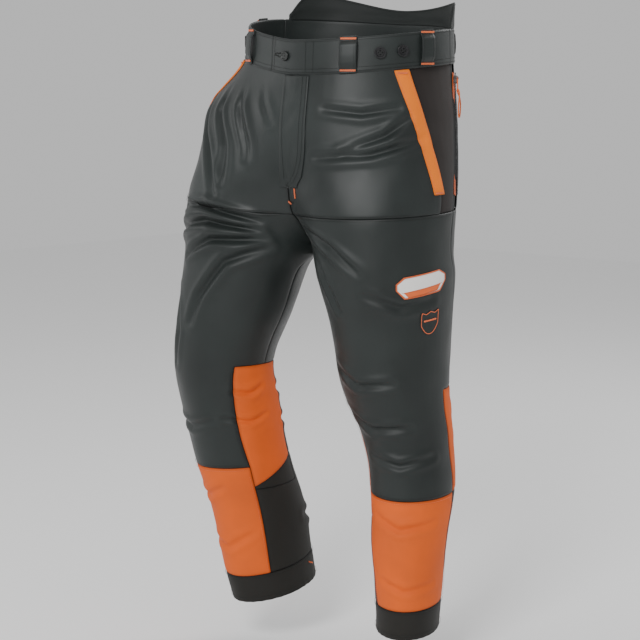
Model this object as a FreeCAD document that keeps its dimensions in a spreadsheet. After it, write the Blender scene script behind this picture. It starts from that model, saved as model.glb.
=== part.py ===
"""Forestry trousers with cut-resistant leg pads, as worn on a standing figure.

Millimetres. +Z is up, +X is the wearer's left and -Y is the front. The origin is the centre of the
waist opening, level with the top edge of the waistband at the centre front.

Every cloth panel is a patch of one master surface. It is described by rings, one above the other. A
ring is an ellipse for each half of the garment. Going round a half, "way" runs from 0 at the centre
front, or the inside leg seam, through 0.5 at the side seam, to 1 at the centre back.
"""
import FreeCAD, Part
import math
import os
import Sketcher

Vector = FreeCAD.Vector
os.makedirs("parts", exist_ok=True)
doc = FreeCAD.newDocument("forestry_trousers")

# ---------------------------------------------------------------- driving dimensions

SIZES = {
    "cloth_thick": 3.0,
    "seam_gap": 0.5,
    "band_height": 60.0,
    "band_thick": 4.0,
    "band_proud": 2.0,
    "yoke_hump": 46.0,
    "yoke_dip": 25.0,
    "yoke_reach": 73.0,
    "yoke_hump_turn": 59.0,
    "loop_width": 30.0,
    "loop_thick": 2.2,
    "loop_room": 6.0,
    "tab_overlap": 14.0,
    "fly_width": 42.0,
    "fly_length": 225.0,
    "fly_thick": 1.6,
    "hip_seam": 300.0,
    "strip_top": 601.0,
    "knee_bottom": 731.0,
    "cuff_top": 980.0,
    "hem": 1030.0,
    "right_leg_lift": 28.0,
    "inner_strip_front": 62.0,
    "inner_strip_back": 130.0,
    "outer_strip_front": 92.0,
    "outer_strip_back": 125.0,
    "shin_inner_edge": 100.0,
    "shin_outer_edge": 92.0,
    "pad_thick": 6.0,
    "pad_room": 7.0,
    "welt_width": 23.0,
    "welt_thick": 1.6,
    "welt_top_turn": 65.0,
    "welt_bottom_turn": 88.0,
    "welt_lead_right": 11.0,
    "welt_bottom": 276.0,
    "bag_depth": 330.0,
    "zip_width": 15.0,
    "zip_top": 76.0,
    "zip_bottom": 292.0,
    "teeth_width": 5.0,
    "teeth_thick": 1.8,
    "slider_length": 13.0,
    "slider_width": 9.0,
    "slider_thick": 4.6,
    "pull_length": 24.0,
    "pull_width": 6.0,
    "pull_thick": 1.6,
    "pull_hole": 1.7,
    "pull_stands": 3.4,
    "eye_up": 3.0,
    "pin_width": 8.4,
    "pin_room": 0.15,
    "ear_length": 3.8,
    "ear_height": 2.6,
    "cord_size": 2.5,
    "tack_size": 17.0,
    "tack_post": 3.0,
    "tack_fit": 0.06,
    "tack_height": 4.4,
    "brace_size": 20.0,
    "brace_thick": 3.4,
    "brace_shank": 2.2,
    "brace_holes": 2.2,
    "brace_hole_ring": 6.4,
    "badge_wide": 94.0,
    "badge_tall": 42.0,
    "emblem_wide": 34.0,
    "emblem_tall": 44.0,
    "patch_thick": 1.2,
    "bartack_long": 16.0,
    "loop_tack_long": 26.0,
    "bartack_wide": 2.4,
    "bartack_thick": 0.8,
}

# Each ring: name, drop below the waist, centre x and y, half width, half depth, outward turn of
# the ellipse, then the angles from the front at which way is 0, 0.5 and 1.
LEFT_RINGS = [
    ("crown", -80, 0, 4, 193, 160, 0, 0, 118, 180),
    ("waist", 0, 0, 0, 195, 155, 0, 0, 118, 180),
    ("band", 66, 0, -2, 198, 158, 0, 0, 118, 180),
    ("hip", 140, 3, -6, 206, 163, 0, 0, 114, 180),
    ("seat", 200, 12, -14, 207, 160, 0, -3, 112.6, 183),
    ("fork", 300, 94, -36, 137, 138, 4, -46, 113, 230),
    ("crotch", 365, 113, -41, 117, 130, 8, -80, 112, 280),
    ("thigh", 400, 115, -40, 120, 127, 10, -84, 112, 276),
    ("midthigh", 500, 126, -36, 104, 112, 10, -95, 112, 265),
    ("overknee", 601, 134, -34, 92, 102, 10, -105, 110, 255),
    ("knee", 690, 150, -20, 78, 88, 14, -105, 108, 255),
    ("underknee", 780, 160, -17, 73, 86, 20, -105, 108, 255),
    ("calf", 880, 160, -27, 66, 84, 28, -105, 108, 255),
    ("ankle", 980, 162, -30, 58, 80, 35, -105, 108, 255),
    ("bottom", 1030, 160, -30, 56, 80, 36, -105, 108, 255),
]
RIGHT_RINGS = [
    ("crown", -80, 0, 4, 193, 160, 0, 0, 104, 180),
    ("waist", 0, 0, 0, 195, 155, 0, 0, 104, 180),
    ("band", 66, -6, -4, 199, 158, 0, 0, 104, 180),
    ("hip", 140, -30, -15, 243, 178, 0, -2, 104, 182),
    ("seat", 200, -55, -38, 224, 167, 2, -12, 105, 188),
    ("fork", 300, -118, -88, 137, 145, 4, -50, 108, 230),
    ("crotch", 365, -131, -113, 120, 123, 5, -100, 108, 260),
    ("thigh", 400, -136, -121, 110, 117, 5, -105, 108, 255),
    ("midthigh", 500, -152, -136, 99, 107, 5, -105, 108, 255),
    ("overknee", 601, -172, -148, 86, 92, 5, -105, 108, 255),
    ("knee", 690, -168, -132, 84, 92, 6, -105, 108, 255),
    ("underknee", 780, -160, -113, 80, 90, 8, -105, 108, 255),
    ("calf", 880, -150, -80, 74, 92, 12, -105, 108, 255),
    ("ankle", 980, -142, -63, 65, 86, 12, -105, 108, 255),
    ("bottom", 1030, -138, -52, 62, 84, 12, -105, 108, 255),
]
RING_FIELDS = ("drop", "x", "y", "wide", "deep", "turn", "from", "side", "to")

# Centre front and centre back lines that both halves share: x and y at each ring down to the crotch.
FRONT_LINE = {"crown": (0, -152), "waist": (0, -155), "band": (2, -160), "hip": (6, -172),
              "seat": (8, -174), "fork": (4, -152)}
BACK_LINE = {"crown": (0, 164), "waist": (0, 155), "band": (0, 156), "hip": (-3, 152),
             "seat": (-5, 128), "fork": (-8, 48)}
CROTCH_POINT = {"left": (-2, -74), "right": (-7, -78)}

# How far each ring is lifted at way 0, 0.5 and 1, and how sharply the lift sets in.
LEFT_LIFT = {"crown": (0, 19, 27), "waist": (0, 19, 27), "band": (0, 19, 27), "hip": (0, 14, 18),
             "seat": (0, 11, 12), "fork": (0, 8, 2)}
RIGHT_LIFT = {"crown": (0, 37, 27), "waist": (0, 37, 27), "band": (0, 37, 27), "hip": (0, 34, 18),
              "seat": (0, 32, 12), "fork": (0, 30, 2), "crotch": (0, 28, 0), "thigh": (6, 28, 6),
              "midthigh": (22, 28, 22)}
LIFT_POWER = {"left": 2.0, "right": 1.2}
# The slope of each hem from front to back, as rise over run.
HEM_SLOPE = {"left": 0.08, "right": 0.22}


def ring_table():
    return {"left": LEFT_RINGS, "right": RIGHT_RINGS}


# ---------------------------------------------------------------- spreadsheet

sheet = doc.addObject("Spreadsheet::Sheet", "Sizes")


def fill_sheet():
    row = 1
    for alias, value in SIZES.items():
        row = write_cell(row, alias, value)
    for side, rings in ring_table().items():
        for ring in rings:
            for field, value in zip(RING_FIELDS, ring[1:]):
                row = write_cell(row, f"{side}_{ring[0]}_{field}", value)
    doc.recompute()


def write_cell(row, alias, value):
    sheet.set(f"A{row}", alias)
    sheet.set(f"B{row}", str(value))
    sheet.setAlias(f"B{row}", alias)
    return row + 1


def size(alias):
    return float(sheet.get(alias))


def bind(thing, **rules):
    """Bind properties of an object to spreadsheet expressions."""
    for name, rule in rules.items():
        thing.setExpression(name, rule)


fill_sheet()

# ---------------------------------------------------------------- master surface


def read_rings(side):
    rings = []
    for ring in ring_table()[side]:
        values = [size(f"{side}_{ring[0]}_{field}") for field in RING_FIELDS]
        rings.append(dict(zip(RING_FIELDS, values), name=ring[0]))
    for ring in rings:
        add_anchors(side, ring)
        add_lift(side, ring)
    return rings


def on_ellipse(ring, side, angle):
    """A point of the ring's ellipse, at an angle from the front towards the outer side."""
    way, turn = math.radians(angle), math.radians(ring["turn"])
    across, along = ring["wide"] * math.sin(way), -ring["deep"] * math.cos(way)
    out = across * math.cos(turn) - along * math.sin(turn)
    fore = across * math.sin(turn) + along * math.cos(turn)
    return ring["x"] + (out if side == "left" else -out), ring["y"] + fore


def add_anchors(side, ring):
    """Where the ring starts and ends: on the shared centre lines, or at the inside leg seam."""
    seam = on_ellipse(ring, side, ring["from"])
    if ring["name"] == "crotch":
        seam = CROTCH_POINT[side]
    front = FRONT_LINE.get(ring["name"], seam)
    back = BACK_LINE.get(ring["name"], seam)
    ring["front_x"], ring["front_y"] = front
    ring["back_x"], ring["back_y"] = back


def add_lift(side, ring):
    lifts = LEFT_LIFT if side == "left" else RIGHT_LIFT
    usual = 0 if side == "left" else size("right_leg_lift")
    front, middle, back = lifts.get(ring["name"], (usual, usual, usual))
    slope = HEM_SLOPE[side] if ring["name"] in ("ankle", "bottom") else 0
    ring.update(lift_front=front, lift_side=middle, lift_back=back, slope=slope)


RINGS = {side: read_rings(side) for side in ("left", "right")}
BLEND = ("x", "y", "wide", "deep", "turn", "from", "side", "to", "front_x", "front_y", "back_x",
         "back_y", "lift_front", "lift_side", "lift_back", "slope")


def glide(rings, drop, field):
    """A smooth value between rings, through each ring's own value."""
    last = len(rings) - 2
    i = max(0, min(last, sum(1 for r in rings if r["drop"] <= drop) - 1))
    before, low, high, after = (rings[max(0, min(last + 1, k))] for k in (i - 1, i, i + 1, i + 2))
    span = high["drop"] - low["drop"]
    t = (drop - low["drop"]) / span
    rise = high[field] - low[field]
    lead = slope_of(before, high, field, span, rise)
    tail = slope_of(low, after, field, span, rise)
    a, b = 2 * t ** 3 - 3 * t ** 2 + 1, t ** 3 - 2 * t ** 2 + t
    c, d = -2 * t ** 3 + 3 * t ** 2, t ** 3 - t ** 2
    return a * low[field] + b * lead + c * high[field] + d * tail


def slope_of(first, second, field, span, rise):
    run = second["drop"] - first["drop"]
    if run <= span + 1e-6:
        return rise
    return (second[field] - first[field]) / run * span


def surface(side, way, drop):
    """The master surface: side of the garment, way round it, drop below the waist."""
    ring = {field: glide(RINGS[side], drop, field) for field in BLEND}
    if way <= 0.5:
        angle = ring["from"] + (ring["side"] - ring["from"]) * way * 2
    else:
        angle = ring["side"] + (ring["to"] - ring["side"]) * (way * 2 - 1)
    x, y = on_ellipse(ring, side, angle)
    for pull, name, end in ((way, "front", "from"), (1 - way, "back", "to")):
        weight = max(0, 1 - max(pull, 0) / ANCHOR_REACH) ** 2
        if weight:
            seam_x, seam_y = on_ellipse(ring, side, ring[end])
            x += weight * (ring[name + "_x"] - seam_x)
            y += weight * (ring[name + "_y"] - seam_y)
    bell = abs(math.sin(math.pi * way)) ** LIFT_POWER[side]
    foot = ring["lift_front"] if way < 0.5 else ring["lift_back"]
    z = -drop + foot + (ring["lift_side"] - foot) * bell + ring["slope"] * (y - ring["y"])
    return Vector(x, y, z)


ANCHOR_REACH = 0.3
STEP_WAY, STEP_DROP = 0.004, 1.5


def normal(side, way, drop):
    """The outward normal of the master surface."""
    first, last = max(0, way - STEP_WAY), min(1, way + STEP_WAY)
    if drop > size("left_crotch_drop") + 1:
        first, last = (way - STEP_WAY) % 1, (way + STEP_WAY) % 1
    along = surface(side, last, drop) - surface(side, first, drop)
    down = surface(side, way, drop + STEP_DROP) - surface(side, way, drop - STEP_DROP)
    cross = along.cross(down)
    cross.normalize()
    return cross * (-1 if side == "left" else 1)


def point(side, way, drop, out=0.0):
    """A point that stands off the master surface, kept on its own side of the centre plane."""
    place = surface(side, way, drop) + normal(side, way, drop) * out
    if way < ANCHOR_REACH or way > 1 - ANCHOR_REACH:
        mid = glide(RINGS["left"], drop, "front_x" if way < 0.5 else "back_x")
        gap = size("seam_gap")
        if drop < size("left_crotch_drop"):
            place.x = max(place.x, mid + gap) if side == "left" else min(place.x, mid - gap)
    return place


def way_of(side, drop, angle):
    """The way round a half for an angle from the front."""
    start = glide(RINGS[side], drop, "from")
    middle = glide(RINGS[side], drop, "side")
    end = glide(RINGS[side], drop, "to")
    if angle <= middle:
        return 0.5 * (angle - start) / (middle - start)
    return 0.5 + 0.5 * (angle - middle) / (end - middle)


def round_waist(angle, drop, out=0.0):
    """A point round the waist, by its angle from the front towards the wearer's left."""
    angle = (angle + 180) % 360 - 180
    side = "left" if angle >= 0 else "right"
    way = way_of(side, drop, abs(angle))
    return surface(side, way, drop) + normal(side, way, drop) * out


def waist_normal(angle, drop):
    side = "left" if angle >= 0 else "right"
    flat = normal(side, way_of(side, drop, abs(angle)), drop)
    flat.z = 0
    flat.normalize()
    return flat


# ---------------------------------------------------------------- building cloth


def grid_surface(grid):
    patch = Part.BSplineSurface()
    patch.interpolate(grid)
    return patch


def solid_between(outer, inner):
    """A closed solid between two grids of points: two faces and a ruled edge all round."""
    top, bottom = grid_surface(outer), grid_surface(inner)
    faces = [top.toShape(), bottom.toShape()]
    low_u, high_u, low_v, high_v = top.bounds()
    for where in (low_u, high_u):
        faces.append(Part.makeRuledSurface(top.uIso(where).toShape(), bottom.uIso(where).toShape()))
    for where in (low_v, high_v):
        faces.append(Part.makeRuledSurface(top.vIso(where).toShape(), bottom.vIso(where).toShape()))
    shell = Part.makeShell(faces)
    shell.sewShape()
    solid = Part.makeSolid(shell)
    if solid.Volume < 0:
        solid.reverse()
    return solid


def spread(first, last, count):
    return [first + (last - first) * i / (count - 1) for i in range(count)]


def patch_grids(place, edges_way, edges_drop, out, thick, counts):
    """Outer and inner grids of a patch. Edges are functions, or numbers for straight edges."""
    def edge(rule, at):
        return rule(at) if callable(rule) else rule

    outer, inner = [], []
    for u in spread(0, 1, counts[0]):
        outer_row, inner_row = [], []
        for v in spread(0, 1, counts[1]):
            top, bottom = edge(edges_drop[0], u), edge(edges_drop[1], u)
            drop = top + (bottom - top) * v
            first, last = edge(edges_way[0], drop), edge(edges_way[1], drop)
            way = first + (last - first) * u
            outer_row.append(place(way, drop, out))
            inner_row.append(place(way, drop, out - thick))
        outer.append(outer_row)
        inner.append(inner_row)
    return outer, inner


def panel(side, edges_way, edges_drop, out=0.0, thick=None, counts=(11, 7)):
    """A cloth panel of one half, between two ways round and two drops."""
    thick = thick or size("cloth_thick")
    first, last = (rule if callable(rule) else (lambda drop, flat=rule: flat) for rule in edges_way)
    edges_way = (lambda drop: first(drop) + SEAM_WAY, lambda drop: last(drop) - SEAM_WAY)
    trim = size("seam_gap") / 2
    low, high = edges_drop
    rim = (lambda u: low(u) + trim) if callable(low) else low + trim
    foot = (lambda u: high(u) - trim) if callable(high) else high - trim
    grids = patch_grids(lambda w, d, o: point(side, w, d, o), edges_way, (rim, foot), out, thick,
                        counts)
    return solid_between(*grids)


SEAM_WAY = 0.0012


def band(first, last, edges_drop, out, thick, counts=(15, 3)):
    """A piece that goes round the waist between two angles from the front."""
    grids = patch_grids(round_waist, (first, last), edges_drop, out, thick, counts)
    return solid_between(*grids)


def node(label, shape):
    """A named part of the garment whose shape is worked out here from the sheet."""
    thing = doc.addObject("Part::Feature", label)
    thing.Shape = shape
    thing.Label = label
    thing.Placement = FreeCAD.Placement()
    NODES.append(thing)
    return thing


NODES = []

# ---------------------------------------------------------------- waistband, yoke and belt loops

SEAM_TURN = 0.4
SIDE_TURN = 104.0


def make_waistband():
    height, thick, proud = size("band_height"), size("band_thick"), size("band_proud")
    tab = -size("tab_overlap")
    runs = {
        "waistband_left_front": (tab, SIDE_TURN),
        "waistband_right_front": (-SIDE_TURN, tab),
        "waistband_back": (SIDE_TURN, 360 - SIDE_TURN),
    }
    for label, (first, last) in runs.items():
        node(label, band(first + SEAM_TURN, last - SEAM_TURN, (0, height), proud, thick, (19, 3)))


def yoke_height(angle):
    """Height of the yoke's top edge: two humps with a dip between them at the centre back."""
    reach, hump_turn = size("yoke_reach"), size("yoke_hump_turn")
    off = abs(angle - 180)
    if off >= hump_turn:
        fall = math.cos(math.pi / 2 * (off - hump_turn) / (reach - hump_turn + 1))
        return size("yoke_hump") * max(0.2, fall)
    rise = 0.5 - 0.5 * math.cos(math.pi * off / hump_turn)
    return size("yoke_dip") + (size("yoke_hump") - size("yoke_dip")) * rise


def make_yoke():
    reach, proud = size("yoke_reach"), size("band_proud")
    first, last = 180 - reach, 180 + reach
    shape = band(first, last, (lambda u: -yoke_height(first + (last - first) * u), -0.6), proud,
                 size("band_thick"), (31, 3))
    node("back_yoke", shape)


LOOP_TURNS = {
    "belt_loop_front_left": 33,
    "belt_loop_front_right": -37,
    "belt_loop_side_left": 79,
    "belt_loop_side_right": -86,
    "belt_loop_back_left": 140,
    "belt_loop_back_right": -140,
    "belt_loop_back_centre": 180,
}


def make_loop(label, angle):
    """A strap sewn down above and below the belt's path, and standing off the band between."""
    wide, thick, room = size("loop_width"), size("loop_thick"), size("loop_room")
    base = size("band_proud") + 1.4
    half = math.degrees(wide / 2 / 180)
    drops = (-3.0, 5.0, 10.0, 30.0, 48.0, 53.0, 60.0)
    lifts = (0.0, 0.0, room * 0.8, room, room * 0.8, 0.0, 0.0)
    pieces = []
    for i in range(len(drops) - 1):
        corners = []
        for turn in (angle - half, angle + half):
            for drop, lift in ((drops[i], lifts[i]), (drops[i + 1], lifts[i + 1])):
                start = round_waist(turn, drop, 0)
                out = waist_normal((turn + 180) % 360 - 180, 30)
                corners.append((start + out * (base + lift), start + out * (base + lift + thick)))
        pieces.append(hexahedron(corners))
    shape = pieces[0].multiFuse(pieces[1:]).removeSplitter()
    return node(label, shape)


def hexahedron(corners):
    """A solid with six ruled faces from four pairs of corners."""
    (a, e), (b, f), (c, g), (d, h) = corners
    loops = ((a, b, d, c), (e, f, h, g), (a, b, f, e), (c, d, h, g), (a, c, g, e), (b, d, h, f))
    faces = []
    for p, q, r, s in loops:
        first, second = Part.makeLine(p, q), Part.makeLine(s, r)
        faces.append(Part.makeRuledSurface(first, second))
    shell = Part.makeShell(faces)
    shell.sewShape()
    solid = Part.makeSolid(shell)
    if solid.Volume < 0:
        solid.reverse()
    return solid


# ---------------------------------------------------------------- hips, fly and pockets


def way_at(side, angle):
    """An edge that keeps one angle from the front."""
    return lambda drop: way_of(side, drop, angle)


def welt_line(side):
    """The pocket mouth: a slanting line from the waistband towards the side seam."""
    top, foot = size("band_height"), size("welt_bottom")
    lead = size("welt_lead_right") if side == "right" else 0
    first, last = size("welt_top_turn") - lead, size("welt_bottom_turn") - lead / 2

    def line(drop):
        share = (drop - top) / (foot - top)
        return way_of(side, drop, first + (last - first) * min(share, 1.02))

    return line


def zip_edge(side, sign):
    """Edges of the slot for the side zip, either side of the left side seam."""
    if side == "right":
        return 0.5
    return lambda drop: 0.5 + sign * (size("zip_width") / 2 + 3.4) / half_girth(side, drop)


def half_girth(side, drop):
    """Length round one half at a drop, for turning millimetres into way."""
    ways = spread(0, 1, 25)
    points = [surface(side, way, drop) for way in ways]
    return sum(p.distanceToPoint(q) for p, q in zip(points, points[1:]))


def make_hips(side):
    top, seam, mouth = size("band_height") + 0.4, size("hip_seam"), welt_line(side)
    reach = 3.0 / 400

    def mouth_front(drop):
        return mouth(drop) - reach * 0.04

    def mouth_back(drop):
        return mouth(drop) + reach * 0.04

    node(f"hip_front_panel_{side}", panel(side, (0, mouth_front), (top, seam), counts=(15, 21)))
    edge = zip_edge(side, -1)
    node(f"pocket_facing_{side}", panel(side, (mouth_back, edge), (top, seam), counts=(8, 21)))
    edge = zip_edge(side, 1)
    node(f"seat_panel_{side}", panel(side, (edge, 1), (top, seam), counts=(19, 21)))


def make_pocket(side):
    mouth, wide = welt_line(side), size("welt_width")
    top, foot = size("band_height") + 1, size("welt_bottom")
    thick = size("welt_thick")

    def front(drop):
        return mouth(drop) - wide * 0.75 / half_girth(side, drop)

    def back(drop):
        return mouth(drop) + wide * 0.25 / half_girth(side, drop)

    node(f"pocket_welt_{side}", panel(side, (front, back), (top, foot), thick + 1.0, thick, (5, 19)))
    depth = size("cloth_thick") + 2.6

    def bag_front(drop):
        return mouth(drop) * 0.2

    node(f"pocket_bag_{side}", panel(side, (bag_front, 0.47), (top + 6, size("bag_depth") - 45),
                                     -depth, 1.4, (13, 17)))


FLY_EDGE = -12.0
FLY_SHIELD_DEPTH = 25.0
FLY_ZIP_DEPTH = 12.0


def fly_place(reach, drop, out):
    """A place on the fly, by its reach in millimetres from the centre front to the wearer's left."""
    side = "left" if reach >= 0 else "right"
    way = abs(reach) / half_girth(side, drop)
    return surface(side, way, drop) + normal(side, max(way, 0.012), drop) * out


def fly_piece(first, last, top, foot, out, thick, counts=(7, 9)):
    return solid_between(*patch_grids(fly_place, (first, last), (top, foot), out, thick, counts))


def make_fly():
    top, foot, thick = size("band_height") + 1, size("fly_length"), size("fly_thick")
    node("fly_placket", fly_piece(FLY_EDGE, size("fly_width"), top, foot + 28, thick + 1.3, thick,
                                    (9, 17)))
    node("fly_shield", fly_piece(-30, 24, top + 4, foot + 6, -FLY_SHIELD_DEPTH, thick, (7, 15)))


# ---------------------------------------------------------------- legs


def make_thigh(side):
    seam, knee = size("hip_seam"), size("strip_top")
    node(f"thigh_front_panel_{side}", panel(side, (0, 0.5), (seam, knee), counts=(17, 31)))
    node(f"thigh_back_panel_{side}", panel(side, (0.5, 1), (seam, knee), counts=(17, 31)))


def make_knee(side):
    """The four pieces of cloth that bend at the knee."""
    top, foot = size("strip_top"), size("knee_bottom")
    inner_front, inner_back = -size("inner_strip_front"), 360 - size("inner_strip_back")
    outer_front, outer_back = size("outer_strip_front"), size("outer_strip_back")
    runs = {
        f"knee_front_panel_{side}": (inner_front, outer_front),
        f"knee_outer_strip_{side}": (outer_front, outer_back),
        f"knee_back_panel_{side}": (outer_back, inner_back),
        f"knee_inner_strip_{side}": (inner_back, 360 + inner_front),
    }
    for label, (first, last) in runs.items():
        place = leg_place(side)
        grids = patch_grids(place, (first + SEAM_TURN, last - SEAM_TURN), (top + 0.1, foot - 0.4), 0,
                            size("cloth_thick"), (11, 12))
        node(label, solid_between(*grids))


def leg_place(side):
    """Places round one leg by the angle from its own front, which may pass the inside seam."""
    def place(angle, drop, out):
        start = glide(RINGS[side], drop, "from")
        turned = start + (angle - start) % 360
        way = way_of(side, drop, turned)
        return surface(side, way, drop) + normal(side, way, drop) * out

    return place


def make_shin(side):
    top, foot = size("knee_bottom") + 0.4, size("cuff_top")
    inner, outer = -size("shin_inner_edge"), size("shin_outer_edge")
    place = leg_place(side)
    thick = size("cloth_thick")
    runs = {
        f"shin_front_panel_{side}": (inner, outer, top, foot),
        f"calf_back_panel_{side}": (outer, inner + 360, top, foot),
    }
    for label, (first, last, low, high) in runs.items():
        grids = patch_grids(place, (first + SEAM_TURN, last - SEAM_TURN), (low, high - 0.1), 0, thick,
                            (15, 18))
        node(label, solid_between(*grids))
    node(f"hem_cuff_{side}", cuff(place, foot + 0.1, size("hem"), thick))


def cuff(place, top, foot, thick):
    """A tube of cloth, sewn from a front and a back half."""
    halves = []
    for first, last in ((-90, 90), (90, 270)):
        turns = (first + SEAM_TURN, last - SEAM_TURN)
        grids = patch_grids(place, turns, (top, foot), 0, thick, (15, 6))
        halves.append(solid_between(*grids))
    return Part.makeCompound(halves)


def make_pad(side):
    """The cut-resistant pad that hangs inside the front of the leg."""
    thick, depth = size("pad_thick"), size("cloth_thick") + size("pad_room")
    share = {"left": (0.06, 0.40), "right": (0.06, 0.42)}[side]
    shape = panel(side, share, (size("hip_seam") + 6, size("cuff_top") - 12), -depth, thick, (13, 41))
    node(f"cut_pad_{side}", shape)


# ---------------------------------------------------------------- zips


def zip_line():
    """Top and bottom of the side zip's straight line, and the directions across and out of it."""
    top = surface("left", 0.5, size("zip_top"))
    foot = surface("left", 0.5, size("zip_bottom"))
    down = foot - top
    down.normalize()
    out = normal("left", 0.5, (size("zip_top") + size("zip_bottom")) / 2)
    out = out - down * out.dot(down)
    out.normalize()
    return top, foot, down, out


def frame_at(origin, out, down):
    """A placement with z pointing out of the cloth and y pointing up along it."""
    across = (-down).cross(out)
    turn = FreeCAD.Rotation(across, -down, out, "ZXY")
    return FreeCAD.Placement(origin, turn)


def sketch_on(body, name, plane="XY_Plane"):
    sketch = body.newObject("Sketcher::SketchObject", name)
    origin = [f for f in body.Origin.OriginFeatures if f.Role == plane][0]
    sketch.AttachmentSupport = [(origin, "")]
    sketch.MapMode = "FlatFace"
    return sketch


def rectangle(sketch, wide, tall):
    """A centred rectangle whose width and height are spreadsheet expressions."""
    corners = [Vector(-5, -6, 0), Vector(5, -6, 0), Vector(5, 6, 0), Vector(-5, 6, 0)]
    for i in range(4):
        sketch.addGeometry(Part.LineSegment(corners[i], corners[(i + 1) % 4]), False)
    for i in range(4):
        sketch.addConstraint(Sketcher.Constraint("Coincident", i, 2, (i + 1) % 4, 1))
    for i in (0, 2):
        sketch.addConstraint(Sketcher.Constraint("Horizontal", i))
        sketch.addConstraint(Sketcher.Constraint("Vertical", i + 1))
    sketch.addConstraint(Sketcher.Constraint("Symmetric", 0, 1, 1, 2, -1, 1))
    wide_at = sketch.addConstraint(Sketcher.Constraint("DistanceX", 0, 1, 0, 2, 10))
    tall_at = sketch.addConstraint(Sketcher.Constraint("DistanceY", 1, 1, 1, 2, 12))
    sketch.setExpression(f"Constraints[{wide_at}]", wide)
    sketch.setExpression(f"Constraints[{tall_at}]", tall)


def pad(body, sketch, name, length, middle=False):
    feature = body.newObject("PartDesign::Pad", name)
    feature.Profile = sketch
    feature.setExpression("Length", length)
    feature.SideType = "Symmetric" if middle else "One side"
    return feature


def pocket(body, sketch, name, length):
    feature = body.newObject("PartDesign::Pocket", name)
    feature.Profile = sketch
    feature.setExpression("Length", length)
    feature.SideType = "Symmetric"
    return feature


def circle(sketch, x, y, radius_rule):
    at = sketch.addGeometry(Part.Circle(Vector(x, y, 0), Vector(0, 0, 1), 1.0), False)
    rule = sketch.addConstraint(Sketcher.Constraint("Radius", at, 1.0))
    sketch.setExpression(f"Constraints[{rule}]", radius_rule)
    return at


def place_circle(sketch, at, x_rule, y_rule):
    for kind, rule in (("DistanceX", x_rule), ("DistanceY", y_rule)):
        spot = sketch.addConstraint(Sketcher.Constraint(kind, -1, 1, at, 3, 1.0))
        sketch.setExpression(f"Constraints[{spot}]", rule)


def side_sketch(body, name, along, out):
    """A sketch on the body's side plane, moved by two spreadsheet expressions."""
    sketch = sketch_on(body, name, "YZ_Plane")
    sketch.setExpression(".AttachmentOffset.Base.x", along)
    sketch.setExpression(".AttachmentOffset.Base.y", out)
    return sketch


def circle_on(sketch, radius_rule):
    at = circle(sketch, 0, 0, radius_rule)
    sketch.addConstraint(Sketcher.Constraint("Coincident", at, 3, -1, 1))


def make_slider(label, placement):
    """A zip slider: a block with a groove for the teeth and two ears that hold the pull's pin."""
    body = doc.addObject("PartDesign::Body", label)
    body.Label = label
    base = sketch_on(body, label + "_base")
    rectangle(base, "Sizes.slider_width", "Sizes.slider_length")
    pad(body, base, label + "_block", "Sizes.slider_thick", middle=True)
    groove = sketch_on(body, label + "_groove")
    rectangle(groove, "Sizes.teeth_width + 0.8", "Sizes.slider_length + 2")
    pocket(body, groove, label + "_channel", "Sizes.teeth_thick + 0.8")
    ears = side_sketch(body, label + "_ears", "Sizes.eye_up",
                       "Sizes.slider_thick / 2 + Sizes.ear_height / 2 - 0.1")
    rectangle(ears, "Sizes.ear_length", "Sizes.ear_height")
    pad(body, ears, label + "_ear_block", "Sizes.slider_width", middle=True)
    gap = side_sketch(body, label + "_gap", "Sizes.eye_up",
                      "Sizes.slider_thick / 2 + Sizes.ear_height / 2 + 0.2")
    rectangle(gap, "Sizes.ear_length + 1", "Sizes.ear_height + 0.4")
    pocket(body, gap, label + "_ear_gap", "Sizes.pull_width + 0.4")
    bore = side_sketch(body, label + "_bore", "Sizes.eye_up", "Sizes.pull_stands")
    circle_on(bore, "Sizes.pull_thick / 2 + Sizes.pin_room")
    pocket(body, bore, label + "_pin_bore", "Sizes.slider_width + 2")
    doc.recompute()
    body.Placement = placement
    NODES.append(body)
    return body


def make_pull(label, placement):
    """A flat pull tab that hangs from the slider, with a hole for a cord at its foot."""
    body = doc.addObject("PartDesign::Body", label)
    body.Label = label
    base = sketch_on(body, label + "_base")
    rectangle(base, "Sizes.pull_width", "Sizes.pull_length")
    pad(body, base, label + "_plate", "Sizes.pull_thick", middle=True)
    hole = sketch_on(body, label + "_hole")
    at = circle(hole, 0, -9, "Sizes.pull_hole")
    sideways = hole.addConstraint(Sketcher.Constraint("DistanceY", -1, 1, at, 3, -9.0))
    hole.setExpression(f"Constraints[{sideways}]", "-Sizes.pull_length / 2 + 3.2")
    hole.addConstraint(Sketcher.Constraint("PointOnObject", at, 3, -2))
    pocket(body, hole, label + "_eye", "Sizes.pull_thick * 2")
    pin = side_sketch(body, label + "_pin", "Sizes.pull_length / 2", "0")
    circle_on(pin, "Sizes.pull_thick / 2")
    pad(body, pin, label + "_pin_bar", "Sizes.pin_width", middle=True)
    doc.recompute()
    body.Placement = placement
    NODES.append(body)
    return body


def strip_box(label, origin, down, out, wide, long, thick):
    """A straight strip as a Part box: its top centre at origin, running down."""
    box = doc.addObject("Part::Box", label)
    box.Label = label
    bind(box, Length=wide, Width=long, Height=thick)
    doc.recompute()
    across = (-down).cross(out)
    corner = origin - across * (box.Length.Value / 2) + down * box.Width.Value
    box.Placement = FreeCAD.Placement(corner - out * (box.Height.Value / 2),
                                      FreeCAD.Rotation(across, -down, out, "ZXY"))
    NODES.append(box)
    return box


SIDE_SLIDER_DROP = 12.0


def pull_place(slider_at, out, down):
    """Where a pull's centre is when its pin lies in the slider's ears."""
    return slider_at + out * size("pull_stands") + down * (size("pull_length") / 2 - size("eye_up"))


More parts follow.
